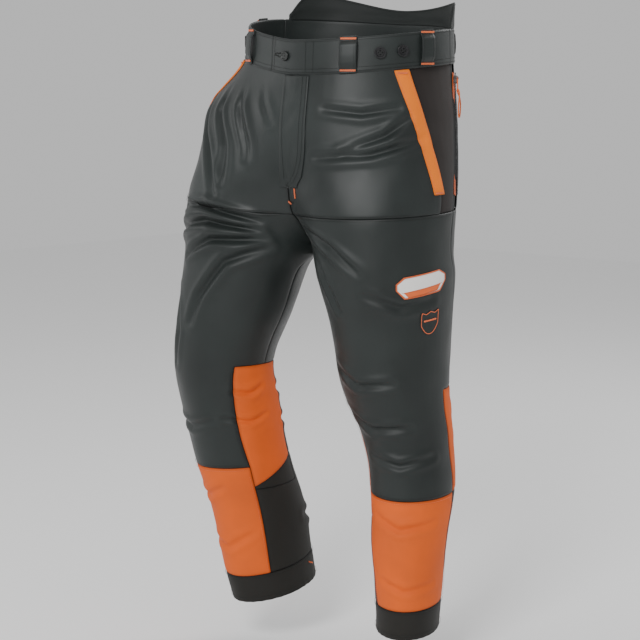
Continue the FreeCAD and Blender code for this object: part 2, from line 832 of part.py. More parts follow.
def make_side_zip():
    top, foot, down, out = zip_line()
    rest = size("slider_thick") / 2 + 0.4
    tape_at = top - out * 1.4
    strip_box("side_zip_tape", tape_at, down, out, "Sizes.zip_width", "Sizes.zip_bottom - Sizes.zip_top",
              "1.0")
    teeth_at = top + out * rest
    strip_box("side_zip_teeth", teeth_at, down, out, "Sizes.teeth_width",
              "Sizes.zip_bottom - Sizes.zip_top", "Sizes.teeth_thick")
    slider_at = teeth_at + down * SIDE_SLIDER_DROP
    make_slider("side_zip_slider", frame_at(slider_at, out, down))
    pull_at = pull_place(slider_at, out, down)
    make_pull("side_zip_pull", frame_at(pull_at, out, down))
    make_cord(pull_at, down, out)


# The loop of cord on the side zip's pull, as steps across, down and out from the pull's centre.
CORD_STEPS = ((0.0, 8.8, 1.0), (-0.4, 14.0, 3.0), (-3.6, 21.0, 3.6), (-5.4, 32.0, 2.6),
              (-5.8, 44.0, 1.6), (-4.6, 55.0, 1.4), (0.2, 59.5, 1.8), (5.0, 54.5, 2.6),
              (6.0, 43.0, 3.2), (5.0, 31.0, 3.8), (3.4, 20.5, 2.4), (0.6, 13.0, -1.0),
              (0.0, 8.8, -1.0))


def route_wire(points, share=0.45):
    """Straight runs joined by tangent arcs."""
    edges, start, radii = [], points[0], []
    for before, corner, after in zip(points, points[1:], points[2:]):
        back, ahead = before - corner, after - corner
        run = min(back.Length, ahead.Length)
        back.normalize()
        ahead.normalize()
        turn = math.pi - back.getAngle(ahead)
        reach = share * run
        radii.append(reach / math.tan(turn / 2))
        first, last = corner + back * reach, corner + ahead * reach
        middle = back + ahead
        middle.normalize()
        radius = radii[-1]
        centre = corner + middle * math.hypot(reach, radius)
        crest = centre - middle * radius
        edges.append(Part.makeLine(start, first))
        edges.append(Part.Arc(first, crest, last).toShape())
        start = last
    edges.append(Part.makeLine(start, points[-1]))
    return Part.Wire(edges), radii


def make_cord(pull_at, down, out):
    across = (-down).cross(out)
    points = [pull_at + across * a + down * d + out * o for a, d, o in CORD_STEPS]
    wire, radii = route_wire(points)
    radius = size("cord_size") / 2
    lead = points[1] - points[0]
    profile = Part.Wire([Part.makeCircle(radius, points[0], lead)])
    tube = wire.makePipeShell([profile], True, True)
    node("side_zip_cord", tube)
    print("cord length", round(wire.Length, 2), "radii", [round(r, 1) for r in radii])
    print("cord volume ratio", round(tube.Volume / (math.pi * radius ** 2 * wire.Length), 4))
    print("cord points", [tuple(round(c, 2) for c in p) for p in points])


def make_fly_zip():
    """The fly zip, between the placket and the shield, on one straight line."""
    start, finish = size("band_height") + 12, size("fly_length") - 18
    depth = -FLY_ZIP_DEPTH
    top, foot = fly_place(0, start, depth), fly_place(0, finish, depth)
    down = foot - top
    long = down.Length
    down.normalize()
    out = Vector(0, -1, 0)
    out = out - down * out.dot(down)
    out.normalize()
    strip_box("fly_zip_tape", top - out * 3.6, down, out, "Sizes.zip_width + 9", f"{long:.3f}", "0.8")
    strip_box("fly_zip_teeth", top - out * 0.2, down, out, "Sizes.teeth_width", f"{long:.3f}",
              "Sizes.teeth_thick")
    slider_at = top - out * 0.2 + down * 10
    make_slider("fly_zip_slider", frame_at(slider_at, out, down))
    return slider_at, down, out


# ---------------------------------------------------------------- buttons


def revolve_body(label, outline, placement):
    """A body turned round its own z axis from corners that are pairs of expressions."""
    body = doc.addObject("PartDesign::Body", label)
    body.Label = label
    sketch = sketch_on(body, label + "_outline", "XZ_Plane")
    count = len(outline)
    for i in range(count):
        first = Vector(2 + i * 0.01, i * 0.5, 0)
        last = Vector(2 + (i + 1) % count * 0.01, (i + 1) % count * 0.5, 0)
        sketch.addGeometry(Part.LineSegment(first, last), False)
    for i in range(count):
        sketch.addConstraint(Sketcher.Constraint("Coincident", i, 2, (i + 1) % count, 1))
    for i, (radius, height) in enumerate(outline):
        for kind, rule in (("DistanceX", radius), ("DistanceY", height)):
            at = sketch.addConstraint(Sketcher.Constraint(kind, -1, 1, i, 1, 1.0))
            sketch.setExpression(f"Constraints[{at}]", rule)
    turned = body.newObject("PartDesign::Revolution", label + "_turned")
    turned.Profile = sketch
    turned.ReferenceAxis = (sketch, ["V_Axis"])
    turned.Angle = 360
    doc.recompute()
    body.Placement = placement
    NODES.append(body)
    return body


def button_frame(angle, drop, out):
    """A placement on the waistband with z pointing straight out of it."""
    outward = waist_normal(angle, drop)
    return FreeCAD.Placement(round_waist(angle, drop, 0) + outward * out,
                             FreeCAD.Rotation(Vector(0, 0, 1), outward))


BUTTON_DROP = 29.0
WAIST_BUTTON_TURN = -4.0
BRACE_TURNS = {"front_left": (50.0, 63.0), "front_right": (-55.5, -69.5), "back": (168.0, -168.0)}


def make_waist_button():
    """A turned metal button that spins on the post of its tack."""
    seat = size("band_proud")
    at = button_frame(WAIST_BUTTON_TURN, BUTTON_DROP, seat)
    rim, post = "Sizes.tack_size / 2", "Sizes.tack_post / 2"
    bore = post + " + Sizes.tack_fit"
    revolve_body("waist_button", [
        (bore, "0.5"), (post + " + 2.2", "0.5"), (post + " + 2.2", "1.7"), (rim + " - 0.6", "1.7"),
        (rim, "2.3"), (rim, "3.4"), (rim + " - 0.9", "Sizes.tack_height"),
        (rim + " - 2.6", "Sizes.tack_height"), (rim + " - 3.8", "3.2"), (bore, "3.2"),
    ], at)
    back = "-Sizes.band_thick - 0.2"
    revolve_body("waist_button_tack", [
        ("0", back + " - 1.2"), ("6.5", back + " - 1.2"), ("6.5", back + " - 0.1"),
        (post, back + " - 0.1"), (post, "3.6"), ("0", "3.6"),
    ], at)


def brace_button_shape():
    """A four-hole button, domed a little and dished on top."""
    body = doc.addObject("PartDesign::Body", "brace_button_pattern")
    rim = "Sizes.brace_size / 2"
    sketch = sketch_on(body, "brace_button_outline", "XZ_Plane")
    outline = [("0", "0"), (rim + " - 0.5", "0"), (rim, "0.4"), (rim, "Sizes.brace_thick - 0.4"),
               (rim + " - 0.5", "Sizes.brace_thick"), (rim + " - 2.6", "Sizes.brace_thick"),
               (rim + " - 3.6", "Sizes.brace_thick - 1"), ("0", "Sizes.brace_thick - 1")]
    count = len(outline)
    for i in range(count):
        first = Vector(i * 0.01, i * 0.5, 0)
        last = Vector((i + 1) % count * 0.01, (i + 1) % count * 0.5, 0)
        sketch.addGeometry(Part.LineSegment(first, last), False)
    for i in range(count):
        sketch.addConstraint(Sketcher.Constraint("Coincident", i, 2, (i + 1) % count, 1))
    for i, (radius, height) in enumerate(outline):
        for kind, rule in (("DistanceX", radius), ("DistanceY", height)):
            at = sketch.addConstraint(Sketcher.Constraint(kind, -1, 1, i, 1, 1.0))
            sketch.setExpression(f"Constraints[{at}]", rule)
    turned = body.newObject("PartDesign::Revolution", "brace_button_turned")
    turned.Profile = sketch
    turned.ReferenceAxis = (sketch, ["V_Axis"])
    turned.Angle = 360
    doc.recompute()
    holes = sketch_on(body, "brace_button_holes")
    for x, y in ((1, 1), (-1, 1), (-1, -1), (1, -1)):
        at = circle(holes, 2.3 * x, 2.3 * y, "Sizes.brace_holes / 2")
        sign_x, sign_y = ("" if x > 0 else "-"), ("" if y > 0 else "-")
        place_circle(holes, at, sign_x + "Sizes.brace_hole_ring / 2.83",
                     sign_y + "Sizes.brace_hole_ring / 2.83")
    pocket(body, holes, "brace_button_eyes", "Sizes.brace_thick * 4")
    doc.recompute()
    return body.Shape.copy()


def make_brace_buttons():
    """Pairs of sewn buttons for braces. Each sits on a short shank of thread."""
    button = brace_button_shape()
    shank_long = size("brace_shank")
    for place, turns in BRACE_TURNS.items():
        solids = []
        for turn in turns:
            at = button_frame(turn, BUTTON_DROP, size("band_proud") + 0.1)
            shank = Part.makeCylinder(2.2, shank_long)
            head = button.copy()
            head.translate(Vector(0, 0, shank_long))
            whole = head.fuse(shank).removeSplitter()
            whole.Placement = at
            solids.append(whole)
            middle = at.multVec(Vector(0, 0, shank_long + size("brace_thick") / 2))
            out = at.Rotation.multVec(Vector(0, 0, 1))
            print("brace", place, turn, [round(c / 1000, 6) for c in middle],
                  [round(c, 6) for c in out])
        node(f"brace_buttons_{place}", Part.makeCompound(solids))


# ---------------------------------------------------------------- badge, emblem and bartacks

BADGE_TURN, BADGE_DROP = 62.0, 412.0
EMBLEM_TURN, EMBLEM_DROP = 68.0, 478.0


def sewn_patch(side, angle, drop, wide, tall, rise):
    """A flat patch sewn on the cloth, that rises a little towards the side seam."""
    girth = half_girth(side, drop)
    middle = way_of(side, drop, angle)
    first, last = middle - wide / 2 / girth, middle + wide / 2 / girth
    thick = size("patch_thick")
    top = (lambda u: drop - tall / 2 - rise * (u - 0.5))
    foot = (lambda u: drop + tall / 2 - rise * (u - 0.5))
    return panel(side, (first, last), (top, foot), thick + 1.0, thick, (9, 7))


def make_patches():
    node("badge", sewn_patch("left", BADGE_TURN, BADGE_DROP, size("badge_wide"), size("badge_tall"), 14))
    node("emblem", sewn_patch("left", EMBLEM_TURN, EMBLEM_DROP, size("emblem_wide"),
                              size("emblem_tall"), 5))


def bartack(place, out, along, length="bartack_long"):
    """One dense bar of stitches, as a small block lying on the cloth."""
    long, wide, thick = size(length), size("bartack_wide"), size("bartack_thick")
    block = Part.makeBox(long, wide, thick, Vector(-long / 2, -wide / 2, 0))
    across = out.cross(along)
    across.normalize()
    block.Placement = FreeCAD.Placement(place, FreeCAD.Rotation(along, across, out, "XZY"))
    return block


def make_bartacks():
    blocks = []
    top_out = size("band_proud") + size("loop_thick") + 1.8
    for angle in LOOP_TURNS.values():
        turned = (angle + 180) % 360 - 180
        for drop in (1.0, size("band_height") - 3.5):
            out = waist_normal(turned, 30)
            along = Vector(0, 0, 1).cross(out)
            place = round_waist(angle, drop, 0) + out * top_out
            blocks.append(bartack(place, out, along, "loop_tack_long"))
    for side in ("left", "right"):
        for drop in (size("band_height") + 7, size("welt_bottom") - 4):
            way = welt_line(side)(drop) - 0.012
            out = normal(side, way, drop)
            along = Vector(0, 0, 1).cross(out)
            along.normalize()
            blocks.append(bartack(surface(side, way, drop) + out * 3.6, out, along))
    for reach, drop in ((14, 276), (4, 290)):
        out = Vector(0.05, -1, 0)
        out.normalize()
        lift = size("fly_thick") * 2 + 3.2
        blocks.append(bartack(fly_place(reach, drop, lift), out, Vector(0, 0, 1).cross(out)))
    node("bartacks", Part.makeCompound(blocks))


# ---------------------------------------------------------------- assembly


def check_and_export():
    doc.recompute()
    for thing in doc.Objects:
        bad = [word for word in ("Invalid", "Error") if word in thing.State]
        if bad:
            raise RuntimeError(f"{thing.Name}: {bad}")
    for thing in NODES:
        shape = thing.Shape
        if shape.isNull() or not shape.isValid():
            raise RuntimeError(f"{thing.Label} has a bad shape")
    for thing in NODES:
        thing.Shape.exportStep(f"parts/{thing.Label}.step")
    print(len(NODES), "nodes written")


make_waistband()
make_yoke()
for loop_label, loop_turn in LOOP_TURNS.items():
    make_loop(loop_label, loop_turn)
for half in ("left", "right"):
    make_hips(half)
    make_pocket(half)
    make_thigh(half)
    make_knee(half)
    make_shin(half)
    make_pad(half)
make_fly()
make_side_zip()
fly_slider_place, fly_down, fly_out = make_fly_zip()
make_pull("fly_zip_pull", frame_at(pull_place(fly_slider_place, fly_out, fly_down), fly_out, fly_down))
make_waist_button()
make_brace_buttons()
make_patches()
make_bartacks()
check_and_export()
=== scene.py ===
# %% [markdown]
# Forestry trousers with cut-resistant pads, as they hang on a standing wearer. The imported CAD
# model is the fixed frame: it says where every piece is and which body it moves with. This lesson
# dresses that frame in cloth. We lay a grid on the form of the body, let a simulation settle it,
# press in the big folds, and then cut the grid along its seams into the panels a tailor would
# sew.

# %% Load the frame
import math

import bmesh
import bpy
from mathutils import Matrix, Vector, noise
from mathutils.bvhtree import BVHTree


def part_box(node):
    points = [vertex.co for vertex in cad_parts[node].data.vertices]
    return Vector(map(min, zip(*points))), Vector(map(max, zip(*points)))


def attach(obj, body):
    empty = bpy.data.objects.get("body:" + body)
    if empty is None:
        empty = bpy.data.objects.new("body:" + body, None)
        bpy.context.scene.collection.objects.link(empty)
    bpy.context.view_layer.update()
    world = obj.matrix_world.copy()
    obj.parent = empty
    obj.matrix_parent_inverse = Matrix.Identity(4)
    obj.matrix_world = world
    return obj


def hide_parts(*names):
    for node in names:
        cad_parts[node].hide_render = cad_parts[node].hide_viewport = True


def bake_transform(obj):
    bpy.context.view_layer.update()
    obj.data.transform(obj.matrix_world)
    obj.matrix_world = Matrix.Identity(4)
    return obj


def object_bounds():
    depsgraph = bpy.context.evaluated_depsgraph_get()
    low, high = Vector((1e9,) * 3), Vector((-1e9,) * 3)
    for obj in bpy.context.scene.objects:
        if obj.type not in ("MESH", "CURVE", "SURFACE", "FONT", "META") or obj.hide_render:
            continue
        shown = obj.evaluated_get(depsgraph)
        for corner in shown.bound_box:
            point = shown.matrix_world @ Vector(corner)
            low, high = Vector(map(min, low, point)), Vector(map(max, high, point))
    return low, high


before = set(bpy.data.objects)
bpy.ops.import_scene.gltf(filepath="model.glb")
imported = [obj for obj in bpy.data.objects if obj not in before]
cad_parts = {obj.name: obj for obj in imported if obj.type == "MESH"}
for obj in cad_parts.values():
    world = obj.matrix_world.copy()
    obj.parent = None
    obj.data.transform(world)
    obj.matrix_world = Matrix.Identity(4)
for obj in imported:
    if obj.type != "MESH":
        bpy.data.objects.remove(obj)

CAD_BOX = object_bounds()
MM = 0.001

# %% [markdown]
# The camera comes first, because every later choice is judged through it. A long lens from the
# wearer's left front, level with the waist, keeps both legs in proportion. Aiming a camera by
# hand is fiddly, so we point its -Z axis at a target with to_track_quat.

# %% Camera
CAMERA_AT = Vector((2.378, -2.834, 0.0))
CAMERA_AIM = Vector((-0.041, -0.035, -0.5012))
LENS, SENSOR = 116.4, 36.0


def make_camera():
    lens = bpy.data.cameras.new("camera")
    lens.lens, lens.sensor_width = LENS, SENSOR
    camera = bpy.data.objects.new("camera", lens)
    camera.location = CAMERA_AT
    camera.rotation_euler = (CAMERA_AIM - CAMERA_AT).to_track_quat("-Z", "Y").to_euler()
    bpy.context.scene.collection.objects.link(camera)
    bpy.context.scene.camera = camera


make_camera()

# %% [markdown]
# Soft studio light. Dark satin cloth shows its folds only through broad highlights, so one large
# key light rakes across from the wearer's right, a weaker fill opens the shadows, and a pale
# world lifts the rest. Area lights are used because their size sets how soft the edge of a shadow
# is.

# %% Floor and lights
FLOOR_DROP = 0.07
FLOOR_HALF = 6.0


def make_floor():
    bm = bmesh.new()
    bmesh.ops.create_grid(bm, x_segments=2, y_segments=2, size=FLOOR_HALF)
    mesh = bpy.data.meshes.new("floor")
    bm.to_mesh(mesh)
    bm.free()
    floor = bpy.data.objects.new("floor", mesh)
    mesh.transform(Matrix.Translation((0, 0, CAD_BOX[0][2] - FLOOR_DROP)))
    paint = bpy.data.materials.new("floor_paint")
    paint.use_nodes = True
    shader = paint.node_tree.nodes["Principled BSDF"]
    shader.inputs["Base Color"].default_value = (0.93, 0.93, 0.93, 1)
    shader.inputs["Roughness"].default_value = 0.9
    mesh.materials.append(paint)
    bpy.context.scene.collection.objects.link(floor)


def make_light(name, place, power, wide, tint=(1, 1, 1)):
    lamp = bpy.data.lights.new(name, "AREA")
    lamp.energy, lamp.size, lamp.color = power, wide, tint
    light = bpy.data.objects.new(name, lamp)
    light.location = place
    aim = Vector((0, 0, -0.45)) - Vector(place)
    light.rotation_euler = aim.to_track_quat("-Z", "Y").to_euler()
    bpy.context.scene.collection.objects.link(light)


def make_world():
    world = bpy.data.worlds.new("studio")
    world.use_nodes = True
    back = world.node_tree.nodes["Background"]
    back.inputs["Color"].default_value = (1, 1, 1, 1)
    back.inputs["Strength"].default_value = 0.62
    bpy.context.scene.world = world


make_floor()
make_world()
make_light("key", (1.3, -3.2, 1.5), 95, 1.1)
make_light("fill", (-2.8, -2.0, 0.6), 24, 1.8)
make_light("back", (0.6, 2.8, 1.6), 50, 1.8)

# %% [markdown]
# Cloth finishes. Each is a Principled shader with a weave in its bump and slow colour drift from
# noise. The weave follows the cloth's own UV map, laid out in metres, so that its threads keep
# their real size and bend with the panel. A float attribute called "edge" is 1 on a panel's seams
# and fades to 0 inside; it paints shade into the cloth's colour where the seam presses it down.

# %% Material helpers


def new_material(name, color, rough, metal=0.0):
    paint = bpy.data.materials.new(name)
    paint.use_nodes = True
    shader = paint.node_tree.nodes["Principled BSDF"]
    shader.inputs["Base Color"].default_value = (*color, 1)
    shader.inputs["Roughness"].default_value = rough
    shader.inputs["Metallic"].default_value = metal
    return paint, paint.node_tree.nodes, paint.node_tree.links, shader


def add_noise(nodes, links, source, scale, detail=4.0):
    grain = nodes.new("ShaderNodeTexNoise")
    grain.inputs["Scale"].default_value = scale
    grain.inputs["Detail"].default_value = detail
    links.new(source, grain.inputs["Vector"])
    return grain.outputs["Fac"]


def add_ramp(nodes, links, source, low, high, first=0.3, last=0.7):
    ramp = nodes.new("ShaderNodeValToRGB")
    ramp.color_ramp.elements[0].color = (*low, 1)
    ramp.color_ramp.elements[1].color = (*high, 1)
    ramp.color_ramp.elements[0].position = first
    ramp.color_ramp.elements[1].position = last
    links.new(source, ramp.inputs["Fac"])
    return ramp.outputs["Color"]


def add_wave(nodes, links, source, scale, direction):
    wave = nodes.new("ShaderNodeTexWave")
    wave.bands_direction = direction
    wave.inputs["Scale"].default_value = scale
    wave.inputs["Distortion"].default_value = 0.6
    wave.inputs["Detail"].default_value = 1.0
    links.new(source, wave.inputs["Vector"])
    return wave.outputs["Fac"]


def add_math(nodes, links, operation, first, second):
    join = nodes.new("ShaderNodeMath")
    join.operation = operation
    for socket, value in zip(join.inputs, (first, second)):
        if isinstance(value, float):
            socket.default_value = value
        else:
            links.new(value, socket)
    return join.outputs["Value"]


def add_bump(nodes, links, shader, height, strength, distance):
    bump = nodes.new("ShaderNodeBump")
    bump.inputs["Strength"].default_value = strength
    bump.inputs["Distance"].default_value = distance
    links.new(height, bump.inputs["Height"])
    links.new(bump.outputs["Normal"], shader.inputs["Normal"])


def shade(color, factor):
    return tuple(min(1.0, c * factor) for c in color)


THREAD_WAVE = 0.314


def cloth_material(name, color, rough, sheen, thread=1.1 * MM, weave="twill", drift=0.22,
                   bump=0.35):
    """Woven cloth: a weave on the UV map, slow colour drift, and painted shade at the seams."""
    paint, nodes, links, shader = new_material(name, color, rough)
    shader.inputs["Sheen Weight"].default_value = sheen
    shader.inputs["Sheen Roughness"].default_value = 0.45
    shader.inputs["Specular IOR Level"].default_value = 0.35
    spot = nodes.new("ShaderNodeTexCoord")
    scale = THREAD_WAVE / thread
    if weave == "twill":
        threads = add_wave(nodes, links, spot.outputs["UV"], scale, "DIAGONAL")
    else:
        warp = add_wave(nodes, links, spot.outputs["UV"], scale, "X")
        weft = add_wave(nodes, links, spot.outputs["UV"], scale, "Y")
        threads = add_math(nodes, links, "MULTIPLY", warp, weft)
    fuzz = add_noise(nodes, links, spot.outputs["Object"], 900.0, 2.0)
    drifting = add_noise(nodes, links, spot.outputs["Object"], 9.0)
    height = add_math(nodes, links, "ADD", threads, add_math(nodes, links, "MULTIPLY", fuzz, 0.6))
    add_bump(nodes, links, shader, height, bump, 0.25 * MM)
    tone = add_ramp(nodes, links, drifting, shade(color, 1 - drift), shade(color, 1 + drift))
    # Painted shade: the "edge" attribute pulls the base colour towards 0.45 of itself along seams.
    edge = nodes.new("ShaderNodeAttribute")
    edge.attribute_name = "edge"
    seam_shade_mix = nodes.new("ShaderNodeMix")
    seam_shade_mix.data_type = "RGBA"
    seam_shade_mix.inputs[7].default_value = (*shade(color, 0.45), 1)
    links.new(tone, seam_shade_mix.inputs[6])
    links.new(add_math(nodes, links, "MULTIPLY", edge.outputs["Fac"], 0.65), seam_shade_mix.inputs[0])
    links.new(seam_shade_mix.outputs[2], shader.inputs["Base Color"])
    rough_low, rough_high = (rough - 0.06,) * 3, (rough + 0.08,) * 3
    gloss = add_ramp(nodes, links, drifting, rough_low, rough_high)
    links.new(gloss, shader.inputs["Roughness"])
    return paint


def plain_material(name, color, rough, metal=0.0, grain=220.0, bump=0.15):
    """Moulded plastic or metal: a fine grain in the bump and a little wear in the gloss."""
    paint, nodes, links, shader = new_material(name, color, rough, metal)
    spot = nodes.new("ShaderNodeTexCoord")
    speck = add_noise(nodes, links, spot.outputs["Object"], grain * 10)
    wear = add_noise(nodes, links, spot.outputs["Object"], grain)
    add_bump(nodes, links, shader, speck, bump, 0.08 * MM)
    tone = add_ramp(nodes, links, wear, shade(color, 0.8), shade(color, 1.35))
    links.new(tone, shader.inputs["Base Color"])
    gloss = add_ramp(nodes, links, wear, (rough * 0.8,) * 3, (min(1, rough * 1.3),) * 3)
    links.new(gloss, shader.inputs["Roughness"])
    return paint


# %% [markdown]
# One finish for each kind of cloth, thread, plastic and metal. The numbers are linear colour,
# roughness and sheen, then the size of a thread and the weave. Black cloth is never pure black: a
# trace of green in the shell and of brown in the stretch panels is what tells them apart.

# %% Finishes
SATIN = cloth_material("satin_cloth", (0.0155, 0.0200, 0.0190), 0.44, 0.05)
DOUBLED = cloth_material("doubled_satin", (0.0125, 0.0165, 0.0155), 0.47, 0.04)
YOKE = cloth_material("yoke_cloth", (0.010, 0.0130, 0.0120), 0.62, 0.04, 1.6 * MM, "plain")
STRETCH = cloth_material("stretch_ripstop", (0.0105, 0.0098, 0.0078), 0.7, 0.03, 1.8 * MM, "plain")
BROWN = cloth_material("facing_ripstop", (0.0150, 0.0105, 0.0090), 0.7, 0.03, 1.8 * MM, "plain")
ORANGE = cloth_material("orange_cloth", (0.66, 0.098, 0.004), 0.7, 0.0, 1.3 * MM, "plain", 0.12)
WELT = cloth_material("welt_cloth", (0.84, 0.19, 0.006), 0.7, 0.0, 0.9 * MM, "plain", 0.1)
LINING = cloth_material("knit_lining", (0.012, 0.0125, 0.0120), 0.85, 0.03, 2.2 * MM, "plain")
PADDING = cloth_material("pad_cloth", (0.55, 0.53, 0.46), 0.9, 0.1, 2.6 * MM, "plain")
TAPE = cloth_material("zip_tape_cloth", (0.03, 0.03, 0.03), 0.8, 0.1, 0.9 * MM, "plain")
ORANGE_TAPE = cloth_material("orange_tape", (0.72, 0.12, 0.02), 0.7, 0.1, 0.9 * MM, "plain")
CORD = cloth_material("braided_cord", (0.80, 0.16, 0.03), 0.65, 0.1, 1.0 * MM, "twill", 0.15, 0.8)
LABEL = cloth_material("label_white", (0.80, 0.78, 0.75), 0.6, 0.1, 0.6 * MM, "plain", 0.05)
LABEL_ORANGE = cloth_material("label_orange", (0.70, 0.13, 0.03), 0.6, 0.1, 0.6 * MM, "plain", 0.08)
THREAD = cloth_material("orange_thread", (0.72, 0.15, 0.05), 0.6, 0.15, 0.5 * MM, "twill", 0.15,
                        0.6)
DARK_THREAD = cloth_material("dark_thread", (0.009, 0.011, 0.010), 0.6, 0.05, 0.5 * MM, "twill")
BUTTON = plain_material("button_plastic", (0.004, 0.004, 0.005), 0.32)
TACK = plain_material("tack_metal", (0.045, 0.047, 0.046), 0.34, 1.0)
ZIP_METAL = plain_material("zip_enamel", (0.014, 0.014, 0.015), 0.38, 0.4)
TEETH = plain_material("zip_teeth_plastic", (0.015, 0.015, 0.016), 0.4)
print(len(bpy.data.materials), "finishes")

# %% [markdown]
# The dress form. A tailor drapes cloth on a form; ours is a stack of ellipses, one for each half
# of the body, like the hoops of a crinoline. Going round a half, "way" runs from 0 at the centre
# front (or the inside leg seam), through 0.5 at the side seam, to 1 at the centre back. The hoops
# are the same as the frame's, and the next cell measures how closely the form lies on the frame's
# own panels.

# %% The hoops of the form, in millimetres and degrees
HOOP_FIELDS = ("drop", "x", "y", "wide", "deep", "turn", "start", "side", "end")
LEFT_HOOPS = (
    ("crown", -80, 0, 4, 193, 160, 0, 0, 118, 180),
    ("waist", 0, 0, 0, 195, 155, 0, 0, 118, 180),
    ("band", 66, 0, -2, 198, 158, 0, 0, 118, 180),
    ("hip", 140, 3, -6, 206, 163, 0, 0, 114, 180),
    ("seat", 200, 12, -14, 207, 160, 0, -3, 112.6, 183),
    ("fork", 300, 94, -36, 137, 138, 4, -46, 113, 230),
    ("crotch", 365, 113, -41, 117, 130, 8, -80, 112, 280),
    ("thigh", 400, 115, -40, 120, 127, 10, -84, 112, 276),
    ("midthigh", 500, 126, -36, 104, 112, 10, -95, 112, 265),
    ("overknee", 601, 134, -34, 92, 102, 10, -105, 110, 255),
    ("knee", 690, 150, -20, 78, 88, 14, -105, 108, 255),
    ("underknee", 780, 160, -17, 73, 86, 20, -105, 108, 255),
    ("calf", 880, 160, -27, 66, 84, 28, -105, 108, 255),
    ("ankle", 980, 162, -30, 58, 80, 35, -105, 108, 255),
    ("bottom", 1030, 160, -30, 56, 80, 36, -105, 108, 255),
)
RIGHT_HOOPS = (
    ("crown", -80, 0, 4, 193, 160, 0, 0, 104, 180),
    ("waist", 0, 0, 0, 195, 155, 0, 0, 104, 180),
    ("band", 66, -6, -4, 199, 158, 0, 0, 104, 180),
    ("hip", 140, -30, -15, 243, 178, 0, -2, 104, 182),
    ("seat", 200, -55, -38, 224, 167, 2, -12, 105, 188),
    ("fork", 300, -118, -88, 137, 145, 4, -50, 108, 230),
    ("crotch", 365, -131, -113, 120, 123, 5, -100, 108, 260),
    ("thigh", 400, -136, -121, 110, 117, 5, -105, 108, 255),
    ("midthigh", 500, -152, -136, 99, 107, 5, -105, 108, 255),
    ("overknee", 601, -172, -148, 86, 92, 5, -105, 108, 255),
    ("knee", 690, -168, -132, 84, 92, 6, -105, 108, 255),
    ("underknee", 780, -160, -113, 80, 90, 8, -105, 108, 255),
    ("calf", 880, -150, -80, 74, 92, 12, -105, 108, 255),
    ("ankle", 980, -142, -63, 65, 86, 12, -105, 108, 255),
    ("bottom", 1030, -138, -52, 62, 84, 12, -105, 108, 255),
)
FRONT_LINE = {"crown": (0, -152), "waist": (0, -155), "band": (2, -160), "hip": (6, -172),
              "seat": (8, -174), "fork": (4, -152)}
BACK_LINE = {"crown": (0, 164), "waist": (0, 155), "band": (0, 156), "hip": (-3, 152),
             "seat": (-5, 128), "fork": (-8, 48)}
CROTCH_POINT = (-4.5, -76)
LEFT_LIFT = {"crown": (0, 19, 27), "waist": (0, 19, 27), "band": (0, 19, 27), "hip": (0, 14, 18),
             "seat": (0, 11, 12), "fork": (0, 8, 2)}
RIGHT_LIFT = {"crown": (0, 37, 27), "waist": (0, 37, 27), "band": (0, 37, 27), "hip": (0, 34, 18),
              "seat": (0, 32, 12), "fork": (0, 30, 2), "crotch": (0, 28, 0), "thigh": (6, 28, 6),
              "midthigh": (22, 28, 22)}
RIGHT_LEG_LIFT = 28
LIFT_POWER = {"left": 2.0, "right": 1.2}
HEM_SLOPE = {"left": 0.08, "right": 0.22}
ANCHOR_REACH = 0.3
SIDES = ("left", "right")


# %% [markdown]
# Between two hoops the form glides on a cubic curve, so it has no kinks. Near the centre lines it
# is drawn on to the front and back seams, where both halves must meet exactly.

# %% Points of the form
def hoop_point(hoop, side, angle):
    way, turn = math.radians(angle), math.radians(hoop["turn"])
    across, along = hoop["wide"] * math.sin(way), -hoop["deep"] * math.cos(way)
    out = across * math.cos(turn) - along * math.sin(turn)
    fore = across * math.sin(turn) + along * math.cos(turn)
    return hoop["x"] + (out if side == "left" else -out), hoop["y"] + fore


def read_hoops(side):
    """Hoops with the lines where they start and end, and the lift of each part of the ring."""
    hoops = []
    lifts = LEFT_LIFT if side == "left" else RIGHT_LIFT
    usual = (0, 0, 0) if side == "left" else (RIGHT_LEG_LIFT,) * 3
    for row in LEFT_HOOPS if side == "left" else RIGHT_HOOPS:
        hoop = dict(zip(HOOP_FIELDS, row[1:]))
        seam = CROTCH_POINT if row[0] == "crotch" else hoop_point(hoop, side, hoop["start"])
        hoop["front_x"], hoop["front_y"] = FRONT_LINE.get(row[0], seam)
        hoop["back_x"], hoop["back_y"] = BACK_LINE.get(row[0], seam)
        lift = lifts.get(row[0], usual)
        hoop["lift_start"], hoop["lift_side"], hoop["lift_end"] = lift
        hoop["slope"] = HEM_SLOPE[side] if row[0] in ("ankle", "bottom") else 0
        hoops.append(hoop)
    return hoops


HOOPS = {side: read_hoops(side) for side in SIDES}
HOOP_CACHE = {}


def lean(first, second, field, span, rise):
    run = second["drop"] - first["drop"]
    return rise if run <= span + 1e-6 else (second[field] - first[field]) / run * span


def hoop_at(side, drop):
    """The hoop at any drop in millimetres, gliding smoothly through the named hoops."""
    key = (side, round(drop, 2))
    if key in HOOP_CACHE:
        return HOOP_CACHE[key]
    hoops = HOOPS[side]
    last = len(hoops) - 2
    i = max(0, min(last, sum(1 for hoop in hoops if hoop["drop"] <= drop) - 1))
    before, low, high, after = (hoops[max(0, min(last + 1, k))] for k in (i - 1, i, i + 1, i + 2))
    span = high["drop"] - low["drop"]
    t = (drop - low["drop"]) / span
    a, b = 2 * t ** 3 - 3 * t ** 2 + 1, t ** 3 - 2 * t ** 2 + t
    c, d = -2 * t ** 3 + 3 * t ** 2, t ** 3 - t ** 2
    made = {}
    for field in low:
        rise = high[field] - low[field]
        lead, tail = lean(before, high, field, span, rise), lean(low, after, field, span, rise)
        made[field] = a * low[field] + b * lead + c * high[field] + d * tail
    HOOP_CACHE[key] = made
    return made


def angle_of(hoop, way):
    if way <= 0.5:
        return hoop["start"] + (hoop["side"] - hoop["start"]) * way * 2
    return hoop["side"] + (hoop["end"] - hoop["side"]) * (way * 2 - 1)


